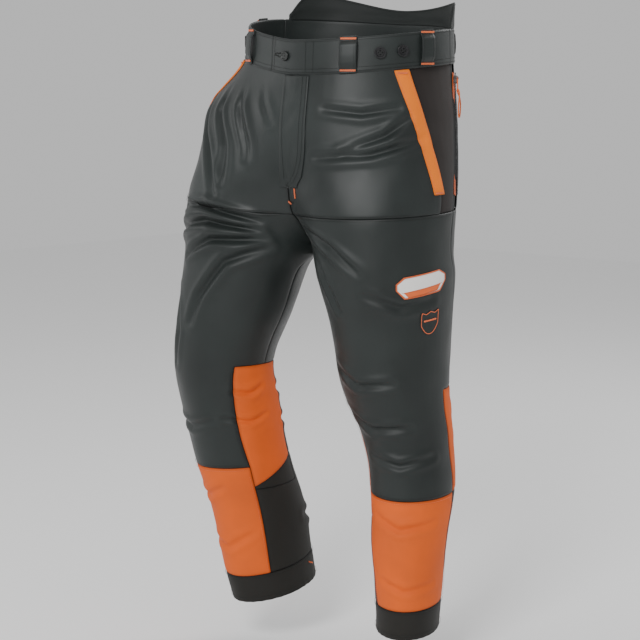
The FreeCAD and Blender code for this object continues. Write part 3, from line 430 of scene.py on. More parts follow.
def way_of(side, drop, angle):
    hoop = hoop_at(side, drop)
    if angle <= hoop["side"]:
        return 0.5 * (angle - hoop["start"]) / (hoop["side"] - hoop["start"])
    return 0.5 + 0.5 * (angle - hoop["side"]) / (hoop["end"] - hoop["side"])


def form(side, way, drop):
    """A point of the form in metres. drop is in millimetres below the waist."""
    hoop = hoop_at(side, drop)
    x, y = hoop_point(hoop, side, angle_of(hoop, way))
    for gap, name, end in ((way, "front", "start"), (1 - way, "back", "end")):
        weight = max(0.0, 1 - max(gap, 0) / ANCHOR_REACH) ** 2
        if weight:
            seam_x, seam_y = hoop_point(hoop, side, hoop[end])
            x += weight * (hoop[name + "_x"] - seam_x)
            y += weight * (hoop[name + "_y"] - seam_y)
    bell = abs(math.sin(math.pi * way)) ** LIFT_POWER[side]
    foot = hoop["lift_start"] if way < 0.5 else hoop["lift_end"]
    z = -drop + foot + (hoop["lift_side"] - foot) * bell + hoop["slope"] * (y - hoop["y"])
    return Vector((x, y, z)) * MM


STEP_WAY, STEP_DROP = 0.006, 2.0


def form_normal(side, way, drop):
    low, high = way - STEP_WAY, way + STEP_WAY
    if drop <= CROTCH:
        low, high = max(0, low), min(1, high)
    else:
        low, high = low % 1, high % 1
    along = form(side, high, drop) - form(side, low, drop)
    down = form(side, way, drop + STEP_DROP) - form(side, way, drop - STEP_DROP)
    out = along.cross(down).normalized()
    return -out if side == "left" else out


def on_form(side, way, drop, out=0.0):
    return form(side, way, drop) + form_normal(side, way, drop) * out * MM


def waist_side(angle):
    angle = (angle + 180) % 360 - 180
    return ("left" if angle >= 0 else "right"), abs(angle)


def on_waist(angle, drop, out=0.0):
    """A point round the waist by its angle from the front, positive towards the wearer's left."""
    side, turn = waist_side(angle)
    return on_form(side, way_of(side, drop, turn), drop, out)


def waist_out(angle, drop=30):
    side, turn = waist_side(angle)
    out = form_normal(side, way_of(side, drop, turn), drop)
    return Vector((out.x, out.y, 0)).normalized()


# Seams that run round the garment, by their drop in millimetres.
BAND_FOOT, HIP_SEAM, CROTCH, STRIP_TOP = 60.0, 300.0, 365.0, 601.0
THIGH_FOOT, STRIP_POINT, CUFF_TOP, HEM = 782.0, 826.0, 980.0, 1030.0


def check_form():
    """How far the form lies from the frame's own panels, in millimetres."""
    for side in SIDES:
        for node in (f"seat_panel_{side}", f"thigh_front_panel_{side}", f"shin_front_panel_{side}"):
            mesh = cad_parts[node].data
            tree = BVHTree.FromPolygons([v.co for v in mesh.vertices],
                                        [tuple(p.vertices) for p in mesh.polygons])
            low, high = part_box(node)
            gaps = []
            for step in range(8):
                drop = -(low[2] + (high[2] - low[2]) * (step + 0.5) / 8) / MM
                drop += RIGHT_LEG_LIFT if side == "right" else 0
                way = 0.75 if "seat" in node else 0.25
                hit = tree.find_nearest(form(side, way, drop))
                gaps.append(hit[3] / MM)
            print(f"form to {node}: {min(gaps):.1f} to {max(gaps):.1f} mm")


check_form()

# %% [markdown]
# The cloth grid. The garment is two tubes that join above the crotch. Each half is a plane grid
# whose columns and rows are bent along the seams: a seam then always runs between two columns or
# two rows, and a panel is simply a block of faces. "Guides" give the way of each seam line at any
# drop.

# %% Seams that run down the garment
WELT_TURN = {"left": (65.0, 88.0), "right": (54.0, 82.5)}
WELT_FOOT = 276.0
INNER_FRONT, OUTER_FRONT, OUTER_BACK, INNER_BACK = 0.101, 0.4624, 0.558, 0.915
ZIP_SLOT = 11.5


def ease(value, low, high):
    t = max(0.0, min(1.0, (value - low) / (high - low)))
    return t * t * (3 - 2 * t)


def girth(side, drop):
    """Length round one half in millimetres."""
    key = ("girth", side, round(drop))
    if key not in HOOP_CACHE:
        points = [form(side, i / 24, drop) for i in range(25)]
        HOOP_CACHE[key] = sum((p - q).length for p, q in zip(points, points[1:])) / MM
    return HOOP_CACHE[key]


def welt_way(side, drop):
    share = min(1.02, (drop - BAND_FOOT) / (WELT_FOOT - BAND_FOOT))
    top, foot = WELT_TURN[side]
    return way_of(side, min(drop, WELT_FOOT), top + (foot - top) * share)


def guides(side, drop):
    """Ways of the seven lines, from the inseam round the front and the back to the inseam."""
    leg = ease(drop, HIP_SEAM, STRIP_TOP - 60)
    bow = math.sin(math.pi * max(0.0, min(1.0, (drop - STRIP_TOP) / (THIGH_FOOT - STRIP_TOP))))
    inner = INNER_FRONT + 0.016 * bow - 0.006 * ease(drop, THIGH_FOOT, CUFF_TOP)
    mouth = welt_way(side, drop) * (1 - leg) + OUTER_FRONT * leg
    slot = ZIP_SLOT / girth(side, 200) if side == "left" else 0.0
    before = 0.5 - slot * (1 - leg)
    behind = 0.5 + max(slot, 0.02) * (1 - leg) + (OUTER_BACK - 0.5) * leg
    return (0.0, inner, mouth, before, behind, 0.93 + (INNER_BACK - 0.93) * leg, 1.0)


COLUMNS = (6, 24, 5, 4, 18, 6)
ROWS = ((BAND_FOOT - 8, HIP_SEAM, 30), (HIP_SEAM, CROTCH, 9), (CROTCH, STRIP_TOP, 29),
        (STRIP_TOP, THIGH_FOOT, 24), (THIGH_FOOT, STRIP_POINT, 6), (STRIP_POINT, CUFF_TOP, 19),
        (CUFF_TOP, HEM, 7))
COLUMN_COUNT = sum(COLUMNS)
ROW_COUNT = sum(row[2] for row in ROWS)
ROW_STARTS = [sum(row[2] for row in ROWS[:i]) for i in range(len(ROWS) + 1)]
COLUMN_STARTS = [sum(COLUMNS[:i]) for i in range(len(COLUMNS) + 1)]


def row_drop(row):
    for (low, high, count), start in zip(ROWS, ROW_STARTS):
        if row <= start + count:
            return low + (high - low) * (row - start) / count
    return HEM


def sag(side, way, drop):
    """Seams round the leg hang lower at the front than at the sides."""
    shin = math.exp(-((drop - THIGH_FOOT) / 90) ** 2)
    hip = math.exp(-((drop - HIP_SEAM) / 40) ** 2)
    front = math.cos(2 * math.pi * (way - 0.26))
    return 9 * shin * front + 3 * hip * front


def column_way(lines, column):
    for i, count in enumerate(COLUMNS):
        if column <= COLUMN_STARTS[i] + count:
            share = (column - COLUMN_STARTS[i]) / count
            return lines[i] + (lines[i + 1] - lines[i]) * share
    return 1.0


def block_of(starts, index):
    return sum(1 for start in starts[1:] if index >= start)


def half_grid(bm, side, layers):
    """One half of the garment, from a plane grid bent on to the form."""
    side_layer, column_block, row_block, uv = layers
    made = bmesh.ops.create_grid(bm, x_segments=COLUMN_COUNT, y_segments=ROW_COUNT, size=0.5)
    faces = {face for vert in made["verts"] for face in vert.link_faces}
    places = {}
    for vert in made["verts"]:
        column = round((vert.co.x + 0.5) * COLUMN_COUNT)
        row = round((0.5 - vert.co.y) * ROW_COUNT)
        places[vert] = (column, row)
    for face in faces:
        column = min(places[vert][0] for vert in face.verts)
        row = min(places[vert][1] for vert in face.verts)
        face[side_layer] = SIDES.index(side)
        face[column_block] = block_of(COLUMN_STARTS, column)
        face[row_block] = block_of(ROW_STARTS, row)
        for loop in face.loops:
            at_column, at_row = places[loop.vert]
            drop = row_drop(at_row)
            way = column_way(guides(side, drop), at_column)
            loop[uv].uv = (way * girth(side, 500) * MM, -drop * MM)
    for vert, (column, row) in places.items():
        drop = row_drop(row)
        way = column_way(guides(side, drop), column)
        vert.co = form(side, way, drop + sag(side, way, drop))
    if side == "right":
        bmesh.ops.reverse_faces(bm, faces=list(faces))
    return made["verts"]


WELD = 0.4 * MM


def garment_grid():
    bm = bmesh.new()
    layers = (bm.faces.layers.int.new("side"), bm.faces.layers.int.new("column"),
              bm.faces.layers.int.new("row"), bm.loops.layers.uv.new("UVMap"))
    for side in SIDES:
        half_grid(bm, side, layers)
    bmesh.ops.remove_doubles(bm, verts=bm.verts[:], dist=WELD)
    return bm


garment = garment_grid()
print("grid", len(garment.verts), "points", len(garment.faces), "faces",
      sum(1 for edge in garment.edges if edge.is_boundary), "open edges")

# %% [markdown]
# Draping. The grid is pinned along its top rows, the form is set a little way inside it, and the
# cloth falls for half a second with a touch more cloth than the form needs, so soft drag lines
# appear where the legs pull away from the hips.

# %% Let the cloth settle on the form
SIM_FRAMES = 26
FORM_INSET = 5.0
SMOOTH_ROUNDS = 5
EXTRA_CLOTH = 0.012
TOUCH_GAP = 0.002


def form_object():
    """The form as a solid to drape on: the same grid, moved inwards."""
    bm = garment.copy()
    bm.normal_update()
    for vert in bm.verts:
        vert.co -= vert.normal * FORM_INSET * MM
    mesh = bpy.data.meshes.new("form")
    bm.to_mesh(mesh)
    bm.free()
    form_body = bpy.data.objects.new("form", mesh)
    bpy.context.scene.collection.objects.link(form_body)
    form_body.modifiers.new("touch", "COLLISION")
    form_body.collision.thickness_outer = TOUCH_GAP
    form_body.collision.cloth_friction = 12
    return form_body


def drape(bm):
    """Move the grid's points to where a short cloth simulation leaves them."""
    mesh = bpy.data.meshes.new("drape")
    bm.to_mesh(mesh)
    sheet = bpy.data.objects.new("drape", mesh)
    bpy.context.scene.collection.objects.link(sheet)
    held = sheet.vertex_groups.new(name="held")
    for vert in mesh.vertices:
        top = -vert.co.z / MM
        held.add([vert.index], 1 - 0.6 * ease(top, 75, 220), "REPLACE")
    cloth = sheet.modifiers.new("cloth", "CLOTH")
    cloth.settings.quality = 6
    cloth.settings.mass = 0.35
    cloth.settings.tension_stiffness = 25
    cloth.settings.compression_stiffness = 25
    cloth.settings.bending_stiffness = 1.2
    cloth.settings.vertex_group_mass = "held"
    cloth.settings.pin_stiffness = 1.5
    cloth.settings.shrink_min = -EXTRA_CLOTH
    cloth.collision_settings.distance_min = TOUCH_GAP
    cloth.point_cache.frame_end = SIM_FRAMES
    form_body = form_object()
    scene = bpy.context.scene
    for tick in range(1, SIM_FRAMES + 1):
        scene.frame_set(tick)
    settled = sheet.evaluated_get(bpy.context.evaluated_depsgraph_get())
    moved = [vert.co.copy() for vert in settled.data.vertices]
    bm.verts.ensure_lookup_table()
    shifts = []
    for vert, spot in zip(bm.verts, moved):
        shifts.append((spot - vert.co).length / MM)
        vert.co = spot
    inner = [vert for vert in bm.verts if not vert.is_boundary]
    for _ in range(SMOOTH_ROUNDS):
        bmesh.ops.smooth_vert(bm, verts=inner, factor=0.5, use_axis_x=True, use_axis_y=True,
                              use_axis_z=True)
    scene.frame_set(1)
    for thing in (sheet, form_body):
        mesh = thing.data
        bpy.data.objects.remove(thing)
        bpy.data.meshes.remove(mesh)
    mean = sum(shifts) / len(shifts)
    print(f"drape moved the cloth by {mean:.1f} mm, at most {max(shifts):.1f} mm")


drape(garment)

# %% [markdown]
# Folds. The form gives the body and the simulation gives the softness, but the sharp creases of
# heavy double-layer cloth are placed one by one. Each fold is a stroke: a list of points on the
# garment, how wide it is and how deep. The cloth sinks along the stroke and swells on both sides
# of it, as it does when it is pushed together.

# %% Fold strokes: side, depth, width in millimetres, then (angle from the front, drop) points
FOLDS = (
    ("right", 6.0, 14, ((44, 96), (36, 140), (22, 196), (8, 262))),
    ("right", 5.0, 13, ((30, 84), (24, 124), (14, 172), (4, 214))),
    ("right", 5.0, 13, ((54, 130), (42, 186), (24, 236), (6, 284))),
    ("right", 3.5, 11, ((17, 76), (12, 112), (5, 146))),
    ("right", 6.0, 12, ((-38, 318), (10, 302), (44, 316))),
    ("right", 6.5, 13, ((-42, 334), (0, 328), (34, 350), (52, 372))),
    ("right", 5.5, 13, ((-50, 350), (-8, 362), (22, 400))),
    ("right", 5.0, 14, ((-56, 366), (-28, 400), (-8, 470), (0, 520))),
    ("right", 4.0, 16, ((70, 240), (60, 300), (64, 360))),
    ("right", 3.0, 14, ((40, 470), (20, 540), (24, 600))),
    ("right", 3.5, 10, ((-96, 640), (-80, 652), (-56, 648))),
    ("right", 3.0, 9, ((-96, 690), (-74, 704), (-40, 696))),
    ("right", 3.0, 12, ((-30, 700), (10, 716), (50, 704))),
    ("right", 2.5, 12, ((-20, 830), (14, 850), (60, 836))),
    ("right", 2.5, 12, ((-50, 910), (-10, 934), (40, 922))),
    ("left", 5.5, 13, ((-40, 322), (-14, 350), (8, 392))),
    ("left", 4.5, 13, ((-52, 345), (-34, 396), (-20, 460))),
    ("left", 4.0, 14, ((14, 200), (44, 196), (74, 176))),
    ("left", 3.5, 12, ((20, 118), (40, 128), (60, 122))),
    ("left", 3.5, 13, ((30, 190), (52, 168), (66, 140))),
    ("left", 3.0, 14, ((10, 430), (40, 452), (70, 440))),
    ("left", 3.5, 12, ((-44, 560), (-10, 590), (30, 584))),
    ("left", 3.5, 12, ((-50, 640), (-14, 668), (36, 662))),
    ("left", 3.0, 11, ((-30, 716), (10, 730), (56, 716))),
    ("left", 3.0, 12, ((-40, 820), (0, 842), (50, 830))),
    ("left", 2.5, 11, ((-40, 930), (0, 946), (50, 938))),
    ("left", 5.0, 15, ((150, 270), (200, 318), (250, 345))),
    ("left", 4.5, 14, ((140, 330), (190, 372), (240, 384))),
    ("left", 4.0, 13, ((130, 640), (180, 662), (230, 650))),
    ("left", 3.5, 12, ((130, 690), (180, 712), (230, 700))),
    ("left", 3.0, 14, ((150, 880), (190, 902), (230, 890))),
    ("right", 5.0, 15, ((140, 270), (186, 318), (226, 350))),
    ("right", 4.5, 14, ((130, 330), (180, 372), (220, 390))),
    ("right", 4.0, 13, ((120, 640), (180, 664), (230, 652))),
    ("right", 3.5, 12, ((130, 700), (180, 722), (230, 708))),
    ("right", 3.0, 14, ((150, 880), (190, 904), (230, 892))),
)
FOLD_STEPS = 9
FOLD_GAIN = 1.15


def walk(points, steps, extra=0):
    """Pairs of numbers in equal steps along a line of pairs; one extra step repeats each corner."""
    for (a, b), (c, d) in zip(points, points[1:]):
        for step in range(steps + extra):
            t = step / steps
            yield a + (c - a) * t, b + (d - b) * t


def fold_spots(side, points):
    """Points of the garment along one stroke, in short steps between the named ones."""
    line = [*walk(points, FOLD_STEPS), points[-1]]
    return [form(side, way_of(side, drop, angle), drop) for angle, drop in line]


def nearest_on(spots, point):
    """Distance from a point to a stroke, and how far along it, from 0 to 1."""
    best, along = 1e9, 0.0
    for i, (a, b) in enumerate(zip(spots, spots[1:])):
        run = b - a
        t = max(0.0, min(1.0, (point - a).dot(run) / run.length_squared))
        gap = (a + run * t - point).length
        if gap < best:
            best, along = gap, (i + t) / (len(spots) - 1)
    return best, along


def fold_profile(gap, width):
    """A valley with a swelling on each side of it."""
    u = gap / width
    return -1.25 * math.exp(-(u * 2.5) ** 2) + 0.85 * math.exp(-((u - 0.95) * 2.1) ** 2)


def press_folds(bm):
    bm.normal_update()
    pushes = {vert: 0.0 for vert in bm.verts}
    for side, depth, width, points in FOLDS:
        spots = fold_spots(side, points)
        reach = width * 2.4 * MM
        low = [min(s[k] for s in spots) - reach for k in range(3)]
        high = [max(s[k] for s in spots) + reach for k in range(3)]
        for vert in bm.verts:
            if any(vert.co[k] < low[k] or vert.co[k] > high[k] for k in range(3)):
                continue
            gap, along = nearest_on(spots, vert.co)
            if gap < reach:
                fade = math.sin(math.pi * min(1.0, max(0.0, 0.06 + 0.88 * along))) ** 0.6
                pushes[vert] += FOLD_GAIN * depth * fade * fold_profile(gap / MM, width)
    for vert, push in pushes.items():
        fine = noise.noise(vert.co * 34) * 0.5 + noise.noise(vert.co * 15 + Vector((4, 1, 7))) * 1.3
        still = ease(-vert.co.z / MM, 70, 130)
        vert.co += vert.normal * max(-9.0, min(7.0, push + fine)) * still * MM
    print("folds moved", sum(1 for push in pushes.values() if abs(push) > 0.5), "points")


def finer(bm):
    """Halve every face, so the folds have room to bend."""
    bmesh.ops.subdivide_edges(bm, edges=bm.edges[:], cuts=1, use_grid_fill=True, smooth=0.0)
    print("finer grid", len(bm.faces), "faces")


finer(garment)
press_folds(garment)

# %% [markdown]
# Cutting the panels. Each panel is the block of faces between two column guides and two row
# guides. Its rim sinks a little into the seam and has painted shade there, its cloth is turned
# inwards to a thickness, and every panel stands or sits a hair above its neighbour as the real
# seams are lapped.

# %% Panels of cloth
FLAT_SIZES = {}


def block(side, columns, rows):
    """Faces of the garment in some columns and rows of blocks."""
    number = SIDES.index(side)
    side_layer, column_layer, row_layer = (garment.faces.layers.int[name]
                                           for name in ("side", "column", "row"))
    return [face for face in garment.faces if face[side_layer] == number
            and face[column_layer] in columns and face[row_layer] in rows]


def cut_panel(faces):
    """A new bmesh with a copy of some faces of the garment."""
    panel = garment.copy()
    keep = {face.index for face in faces}
    panel.faces.ensure_lookup_table()
    gone = [face for face in panel.faces if face.index not in keep]
    bmesh.ops.delete(panel, geom=gone, context="FACES")
    return panel


def flat_size(bm):
    """Area of a panel in square metres, and its height in metres."""
    heights = [vert.co.z for vert in bm.verts]
    return sum(face.calc_area() for face in bm.faces), max(heights) - min(heights)


def rim_distance(bm, reach):
    """How far each point is from the panel's rim, up to a reach, in metres."""
    far = {vert: (0.0 if vert.is_boundary else reach) for vert in bm.verts}
    front = [vert for vert in bm.verts if vert.is_boundary]
    while front:
        ahead = []
        for vert in front:
            for edge in vert.link_edges:
                other = edge.other_vert(vert)
                gap = far[vert] + edge.calc_length()
                if gap < far[other] - 1e-6:
                    far[other] = gap
                    ahead.append(other)
        front = ahead
    return far


def mesh_object(name, bm, material, smooth=True):
    mesh = bpy.data.meshes.new(name)
    bm.to_mesh(mesh)
    bm.free()
    mesh.materials.append(material)
    for polygon in mesh.polygons:
        polygon.use_smooth = smooth
    made = bpy.data.objects.new(name, mesh)
    bpy.context.scene.collection.objects.link(made)
    return made


def thicken(piece, thick):
    """Turn a sheet inwards to a thickness."""
    body = piece.modifiers.new("thickness", "SOLIDIFY")
    body.thickness = thick * MM
    body.offset = -1


def smooth_levels(piece, levels):
    if levels:
        smooth = piece.modifiers.new("levels", "SUBSURF")
        smooth.levels = smooth.render_levels = levels


def round_edges(piece, width, segments):
    soft = piece.modifiers.new("round", "BEVEL")
    soft.width = width * MM
    soft.segments = segments


SEAM_REACH = 5 * MM
PANEL_THICK = 1.5


def cloth_panel(name, faces, material, rise=0.0, seam=0.9, shape=None):
    """Cut a panel, sink its rim, mark the rim for the shader, and give it thickness and levels."""
    bm = cut_panel(faces)
    if shape:
        shape(bm)
    edge = bm.verts.layers.float.new("edge")
    bm.normal_update()
    far = rim_distance(bm, SEAM_REACH)
    # The "edge" value marks the rim for painted seam shade in the cloth shader.
    for vert, gap in far.items():
        share = 1 - min(1.0, gap / SEAM_REACH)
        vert[edge] = share
        vert.co += vert.normal * (rise - seam * share ** 3) * MM
    FLAT_SIZES[name] = flat_size(bm)
    made = mesh_object(name, bm, material)
    thicken(made, PANEL_THICK)
    smooth_levels(made, 1)
    return made


def band_of(side, column_from, column_to, row_from, row_to):
    return block(side, range(column_from, column_to), range(row_from, row_to))

# %% [markdown]
# Row blocks 0 to 6 are hip, crotch band, thigh, knee, strip foot, shin and cuff. Column blocks 0
# to 5 run from the inseam round the front: inner strip front, front, mouth or outer strip, zip or
# strip back, back, inner strip back.

# %% Cut every panel of both legs
HIP, SEAT_BAND, THIGH, KNEE_ROWS, FOOT, SHIN, CUFF = range(7)


def bend(obj):
    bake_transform(obj)


def diagonal(side, keep_front):
    """Cut the strip's foot from its back corner at the thigh seam to its front corner below."""
    def cut(bm):
        top = form(side, INNER_BACK, THIGH_FOOT + sag(side, INNER_BACK, THIGH_FOOT))
        foot = form(side, INNER_FRONT, STRIP_POINT)
        across = form_normal(side, 0.004, (THIGH_FOOT + STRIP_POINT) / 2)
        normal = (foot - top).cross(across).normalized()
        if normal.z < 0:
            normal = -normal
        geometry = bm.verts[:] + bm.edges[:] + bm.faces[:]
        bmesh.ops.bisect_plane(bm, geom=geometry, plane_co=top, plane_no=normal, dist=1e-5,
                               clear_inner=keep_front, clear_outer=not keep_front)
    return cut


def leg_panels(side):
    """All panels of one half, by kind. The left seat starts behind its side zip."""
    seat_start = 4 if side == "left" else 3
    hip = band_of(side, 0, 2, HIP, SEAT_BAND)
    made = {}
    made["hip_front"] = cloth_panel(f"hip_front_{side}", hip, SATIN, rise=0.9)
    facing = band_of(side, 2, 3, HIP, SEAT_BAND)
    made["facing"] = cloth_panel(f"facing_cloth_{side}", facing, BROWN, rise=-1.6, seam=0.4)
    seat = band_of(side, seat_start, 6, HIP, SEAT_BAND)
    made["seat"] = cloth_panel(f"seat_{side}", seat, SATIN, rise=0.4)
    thigh = band_of(side, 0, 3, SEAT_BAND, KNEE_ROWS) + band_of(side, 1, 2, KNEE_ROWS, FOOT)
    made["thigh_front"] = cloth_panel(f"thigh_front_{side}", thigh, DOUBLED, rise=0.6)
    back = band_of(side, 3, 6, SEAT_BAND, KNEE_ROWS)
    made["thigh_back"] = cloth_panel(f"thigh_back_{side}", back, SATIN, rise=0.2)
    knee_back = band_of(side, 4, 5, KNEE_ROWS, FOOT)
    made["knee_back"] = cloth_panel(f"knee_back_{side}", knee_back, STRETCH, rise=0.2)
    outer = band_of(side, 2, 4, KNEE_ROWS, FOOT)
    made["outer_strip"] = cloth_panel(f"outer_strip_{side}", outer, ORANGE, rise=0.9)
    strip = (band_of(side, 5, 6, KNEE_ROWS, SHIN) + band_of(side, 0, 1, KNEE_ROWS, SHIN))
    made["inner_strip"] = cloth_panel(f"inner_strip_{side}", strip, ORANGE, rise=0.9,
                                      shape=diagonal(side, True))
    shin = band_of(side, 1, 2, FOOT, CUFF)
    made["shin"] = cloth_panel(f"shin_front_{side}", shin, ORANGE, rise=0.7)
    calf = (band_of(side, 2, 5, FOOT, CUFF) + band_of(side, 5, 6, SHIN, CUFF)
            + band_of(side, 0, 1, SHIN, CUFF))
    made["calf"] = cloth_panel(f"calf_{side}", calf, STRETCH, rise=0.1)
    wedge = band_of(side, 5, 6, FOOT, SHIN) + band_of(side, 0, 1, FOOT, SHIN)
    made["strip_foot"] = cloth_panel(f"calf_wedge_{side}", wedge, STRETCH, rise=0.1,
                                     shape=diagonal(side, False))
    cuff = band_of(side, 0, 6, CUFF, CUFF + 1)
    made["cuff"] = cloth_panel(f"hem_cuff_{side}_cloth", cuff, STRETCH, rise=0.5)
    return made


PANELS = {side: leg_panels(side) for side in SIDES}
RIGID_TOP = ("hip_front", "facing", "seat")
BENDING = ("thigh_front", "thigh_back", "knee_back", "outer_strip", "inner_strip")
STANDS_FOR = {
    "hip_front": ("hip_front_panel",), "facing": ("pocket_facing",), "seat": ("seat_panel",),
    "thigh_front": ("thigh_front_panel", "knee_front_panel"), "thigh_back": ("thigh_back_panel",),
    "knee_back": ("knee_back_panel",), "outer_strip": ("knee_outer_strip",),
    "inner_strip": ("knee_inner_strip",), "shin": ("shin_front_panel",),
    "calf": ("calf_back_panel",), "cuff": ("hem_cuff",),
}
for side in SIDES:
    for kind, piece in PANELS[side].items():
        if kind in RIGID_TOP:
            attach(piece, "trousers")
        elif kind in BENDING:
            bend(piece)
        else:
            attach(piece, f"{side}_shin")
        if kind in STANDS_FOR:
            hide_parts(*(f"{node}_{side}" for node in STANDS_FOR[kind]))
        area, tall = FLAT_SIZES[piece.name]
        print(f"{piece.name}: {area:.3f} m2, {tall:.2f} m tall, {len(piece.data.polygons)} faces")

# %% [markdown]
# A lining closes every seam from inside and is what is seen down the legs and inside the waist.
# It is the same grid moved inwards, in one piece above the knee's end and one below it.

# %% Lining of each leg
CLOTH_TREE = BVHTree.FromBMesh(garment)
LINING_DEPTH = 3.4


def lining(side):
    top = cut_panel(band_of(side, 0, 6, HIP, FOOT))
    foot = cut_panel(band_of(side, 0, 6, FOOT, CUFF + 1))
    pieces = []
    for bm, name in ((top, f"lining_thigh_{side}"), (foot, f"lining_shin_{side}")):
        bm.normal_update()
        for vert in bm.verts:
            vert.co -= vert.normal * LINING_DEPTH * MM
        bmesh.ops.reverse_faces(bm, faces=bm.faces[:])
        pieces.append(mesh_object(name, bm, LINING))
    bend(pieces[0])
    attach(pieces[1], f"{side}_shin")


for side in SIDES:
    lining(side)


# %% [markdown]
# Trim is laid on the cloth as patches. A patch is a small plane grid whose points are moved to
# places given by a function of u along and v down, then turned to a thickness.

# %% Patches, and places on the draped cloth
def on_cloth(side, way, drop, out=0.0):
    """A point on the draped cloth itself, so that trim follows its folds."""
    base, normal = form(side, way, drop), form_normal(side, way, drop)
    hit = CLOTH_TREE.ray_cast(base + normal * 22 * MM, -normal, 44 * MM)
    spot = hit[0] if hit[0] is not None else base
    return spot + normal * out * MM


def patch(name, place, counts, material, thick=1.6, levels=1, uv_size=(0.1, 0.1)):
    """A strip or patch of cloth from places of (u, v), both 0 to 1."""
    bm = bmesh.new()
    uv = bm.loops.layers.uv.new("UVMap")
    edge = bm.verts.layers.float.new("edge")
    bmesh.ops.create_grid(bm, x_segments=counts[0], y_segments=counts[1], size=0.5)
    spots = {vert: (vert.co.x + 0.5, 0.5 - vert.co.y) for vert in bm.verts}
    for face in bm.faces:
        for loop in face.loops:
            u, v = spots[loop.vert]
            loop[uv].uv = (u * uv_size[0], -v * uv_size[1])
    for vert, (u, v) in spots.items():
        # Painted shade: a patch's rim is marked 0.75 in "edge", which darkens its colour there.
        vert[edge] = 0.75 if vert.is_boundary else 0.0
        vert.co = place(u, v)
    made = mesh_object(name, bm, material)
    thicken(made, thick)
    smooth_levels(made, levels)
    return made


def faces_out(name, towards):
    """Turn a patch over if its faces look away from a direction."""
    mesh = bpy.data.objects[name].data
    total = Vector((0, 0, 0))
    for polygon in mesh.polygons:
        total += polygon.normal * polygon.area
    if total.dot(towards) < 0:
        mesh.flip_normals()


def add_bar(bm, centre, axes, size, slant=0.0):
    """A small box at a point, its edges along three axes, turned by a slant about the third."""
    turn = Matrix(axes).transposed().to_4x4() @ Matrix.Rotation(slant, 4, "Z")
    place = Matrix.Translation(centre) @ turn @ Matrix.Diagonal((*size, 1))
    bmesh.ops.create_cube(bm, size=1.0, matrix=place)


def stitch_row(name, spots, outs, material, length=2.6, gap=1.0, wide=0.75):
    """Separate stitches along a line of points, each a short rounded bar half sunk in the cloth."""
    bm = bmesh.new()
    run = [0.0]
    for a, b in zip(spots, spots[1:]):
        run.append(run[-1] + (b - a).length)
    count = max(1, int(run[-1] / MM / (length + gap)))

    def at(distance):
        i = max(0, min(len(run) - 2, sum(1 for r in run if r <= distance) - 1))
        t = (distance - run[i]) / max(1e-9, run[i + 1] - run[i])
        return spots[i].lerp(spots[i + 1], t), outs[i].lerp(outs[i + 1], t).normalized()
    for i in range(count):
        start = (i + 0.5) * run[-1] / count
        half = length / 2 * MM
        (a, out), (b, _) = at(max(0, start - half)), at(min(run[-1], start + half))
        along = (b - a).normalized()
        across = out.cross(along).normalized()
        size = ((b - a).length, wide * MM, wide * 0.7 * MM)
        add_bar(bm, (a + b) / 2, (along, across, along.cross(across)), size)
    made = mesh_object(name, bm, material, smooth=False)
    round_edges(made, wide * 0.28, 1)
    return made


THREAD_SLANT = 0.22


def thread_bar(bm, centre, along, out, long, wide, bars):
    """A bartack: a dense zigzag of threads laid side by side."""
    along, out = along.normalized(), out.normalized()
    across = out.cross(along).normalized()
    size = (long / bars * 1.15 * MM, wide * MM, 0.9 * MM)
    for i in range(bars):
        shift = (i + 0.5) / bars - 0.5
        add_bar(bm, centre + along * shift * long * MM, (along, across, out), size,
                THREAD_SLANT if i % 2 else -THREAD_SLANT)


# %% [markdown]
# The waistband, the yoke that stands up behind it and the belt loops are laid round the waist by
# angle, not on the draped cloth: they are stiff, and keep the shape of the form.

# %% Waistband, back yoke and belt loops
BAND_PROUD, BAND_THICK = 2.0, 4.0
TAB, SIDE_TURN = -14.0, 104.0
LOOP_TURNS = {"front_left": 33, "front_right": -37, "side_left": 79, "side_right": -86,
              "back_left": 140, "back_right": -140, "back_centre": 180}


def band_piece(name, first, last, node, count):
    def place(u, v):
        angle = first + (last - first) * u
        ripple = 0.45 * noise.noise(Vector((angle * 0.09, v * 2.2, 3)))
        puff = 0.5 * math.sin(math.pi * v)
        return on_waist(angle, -0.6 + (BAND_FOOT + 1.8) * v, BAND_PROUD + ripple + puff)
    made = patch(name, place, (count, 10), SATIN, thick=BAND_THICK,
                 uv_size=(abs(last - first) * 3.1 * MM, 0.06))
    faces_out(name, waist_out((first + last) / 2))
    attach(made, "trousers")
    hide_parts(node)
    return made


band_piece("band_left", TAB, SIDE_TURN + 0.5, "waistband_left_front", 60)
band_piece("band_right", -SIDE_TURN - 0.5, TAB + 0.8, "waistband_right_front", 50)
band_piece("band_back", SIDE_TURN - 0.3, 360 - SIDE_TURN + 0.3, "waistband_back", 80)

YOKE_REACH, YOKE_HUMP, YOKE_DIP, HUMP_TURN = 73.0, 46.0, 25.0, 59.0


def yoke_height(angle):
    off = abs(angle - 180)
    if off >= HUMP_TURN:
        share = (off - HUMP_TURN) / (YOKE_REACH - HUMP_TURN + 1)
        return YOKE_HUMP * max(0.2, math.cos(math.pi / 2 * share))
    return YOKE_DIP + (YOKE_HUMP - YOKE_DIP) * (0.5 - 0.5 * math.cos(math.pi * off / HUMP_TURN))


def yoke_place(u, v):
    angle = 180 - YOKE_REACH + 2 * YOKE_REACH * u
    height = yoke_height(angle)
    wave = 0.7 * noise.noise(Vector((angle * 0.06, v * 3, 9)))
    foot = 0.6 * ease(v, 0.85, 1.0)
    return on_waist(angle, 2.0 - (height + 2.0) * (1 - v), BAND_PROUD + wave - foot)


yoke = patch("yoke_cloth_piece", yoke_place, (84, 12), YOKE, thick=BAND_THICK, uv_size=(0.45, 0.05))
faces_out("yoke_cloth_piece", Vector((0, 1, 0)))
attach(yoke, "trousers")
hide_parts("back_yoke")


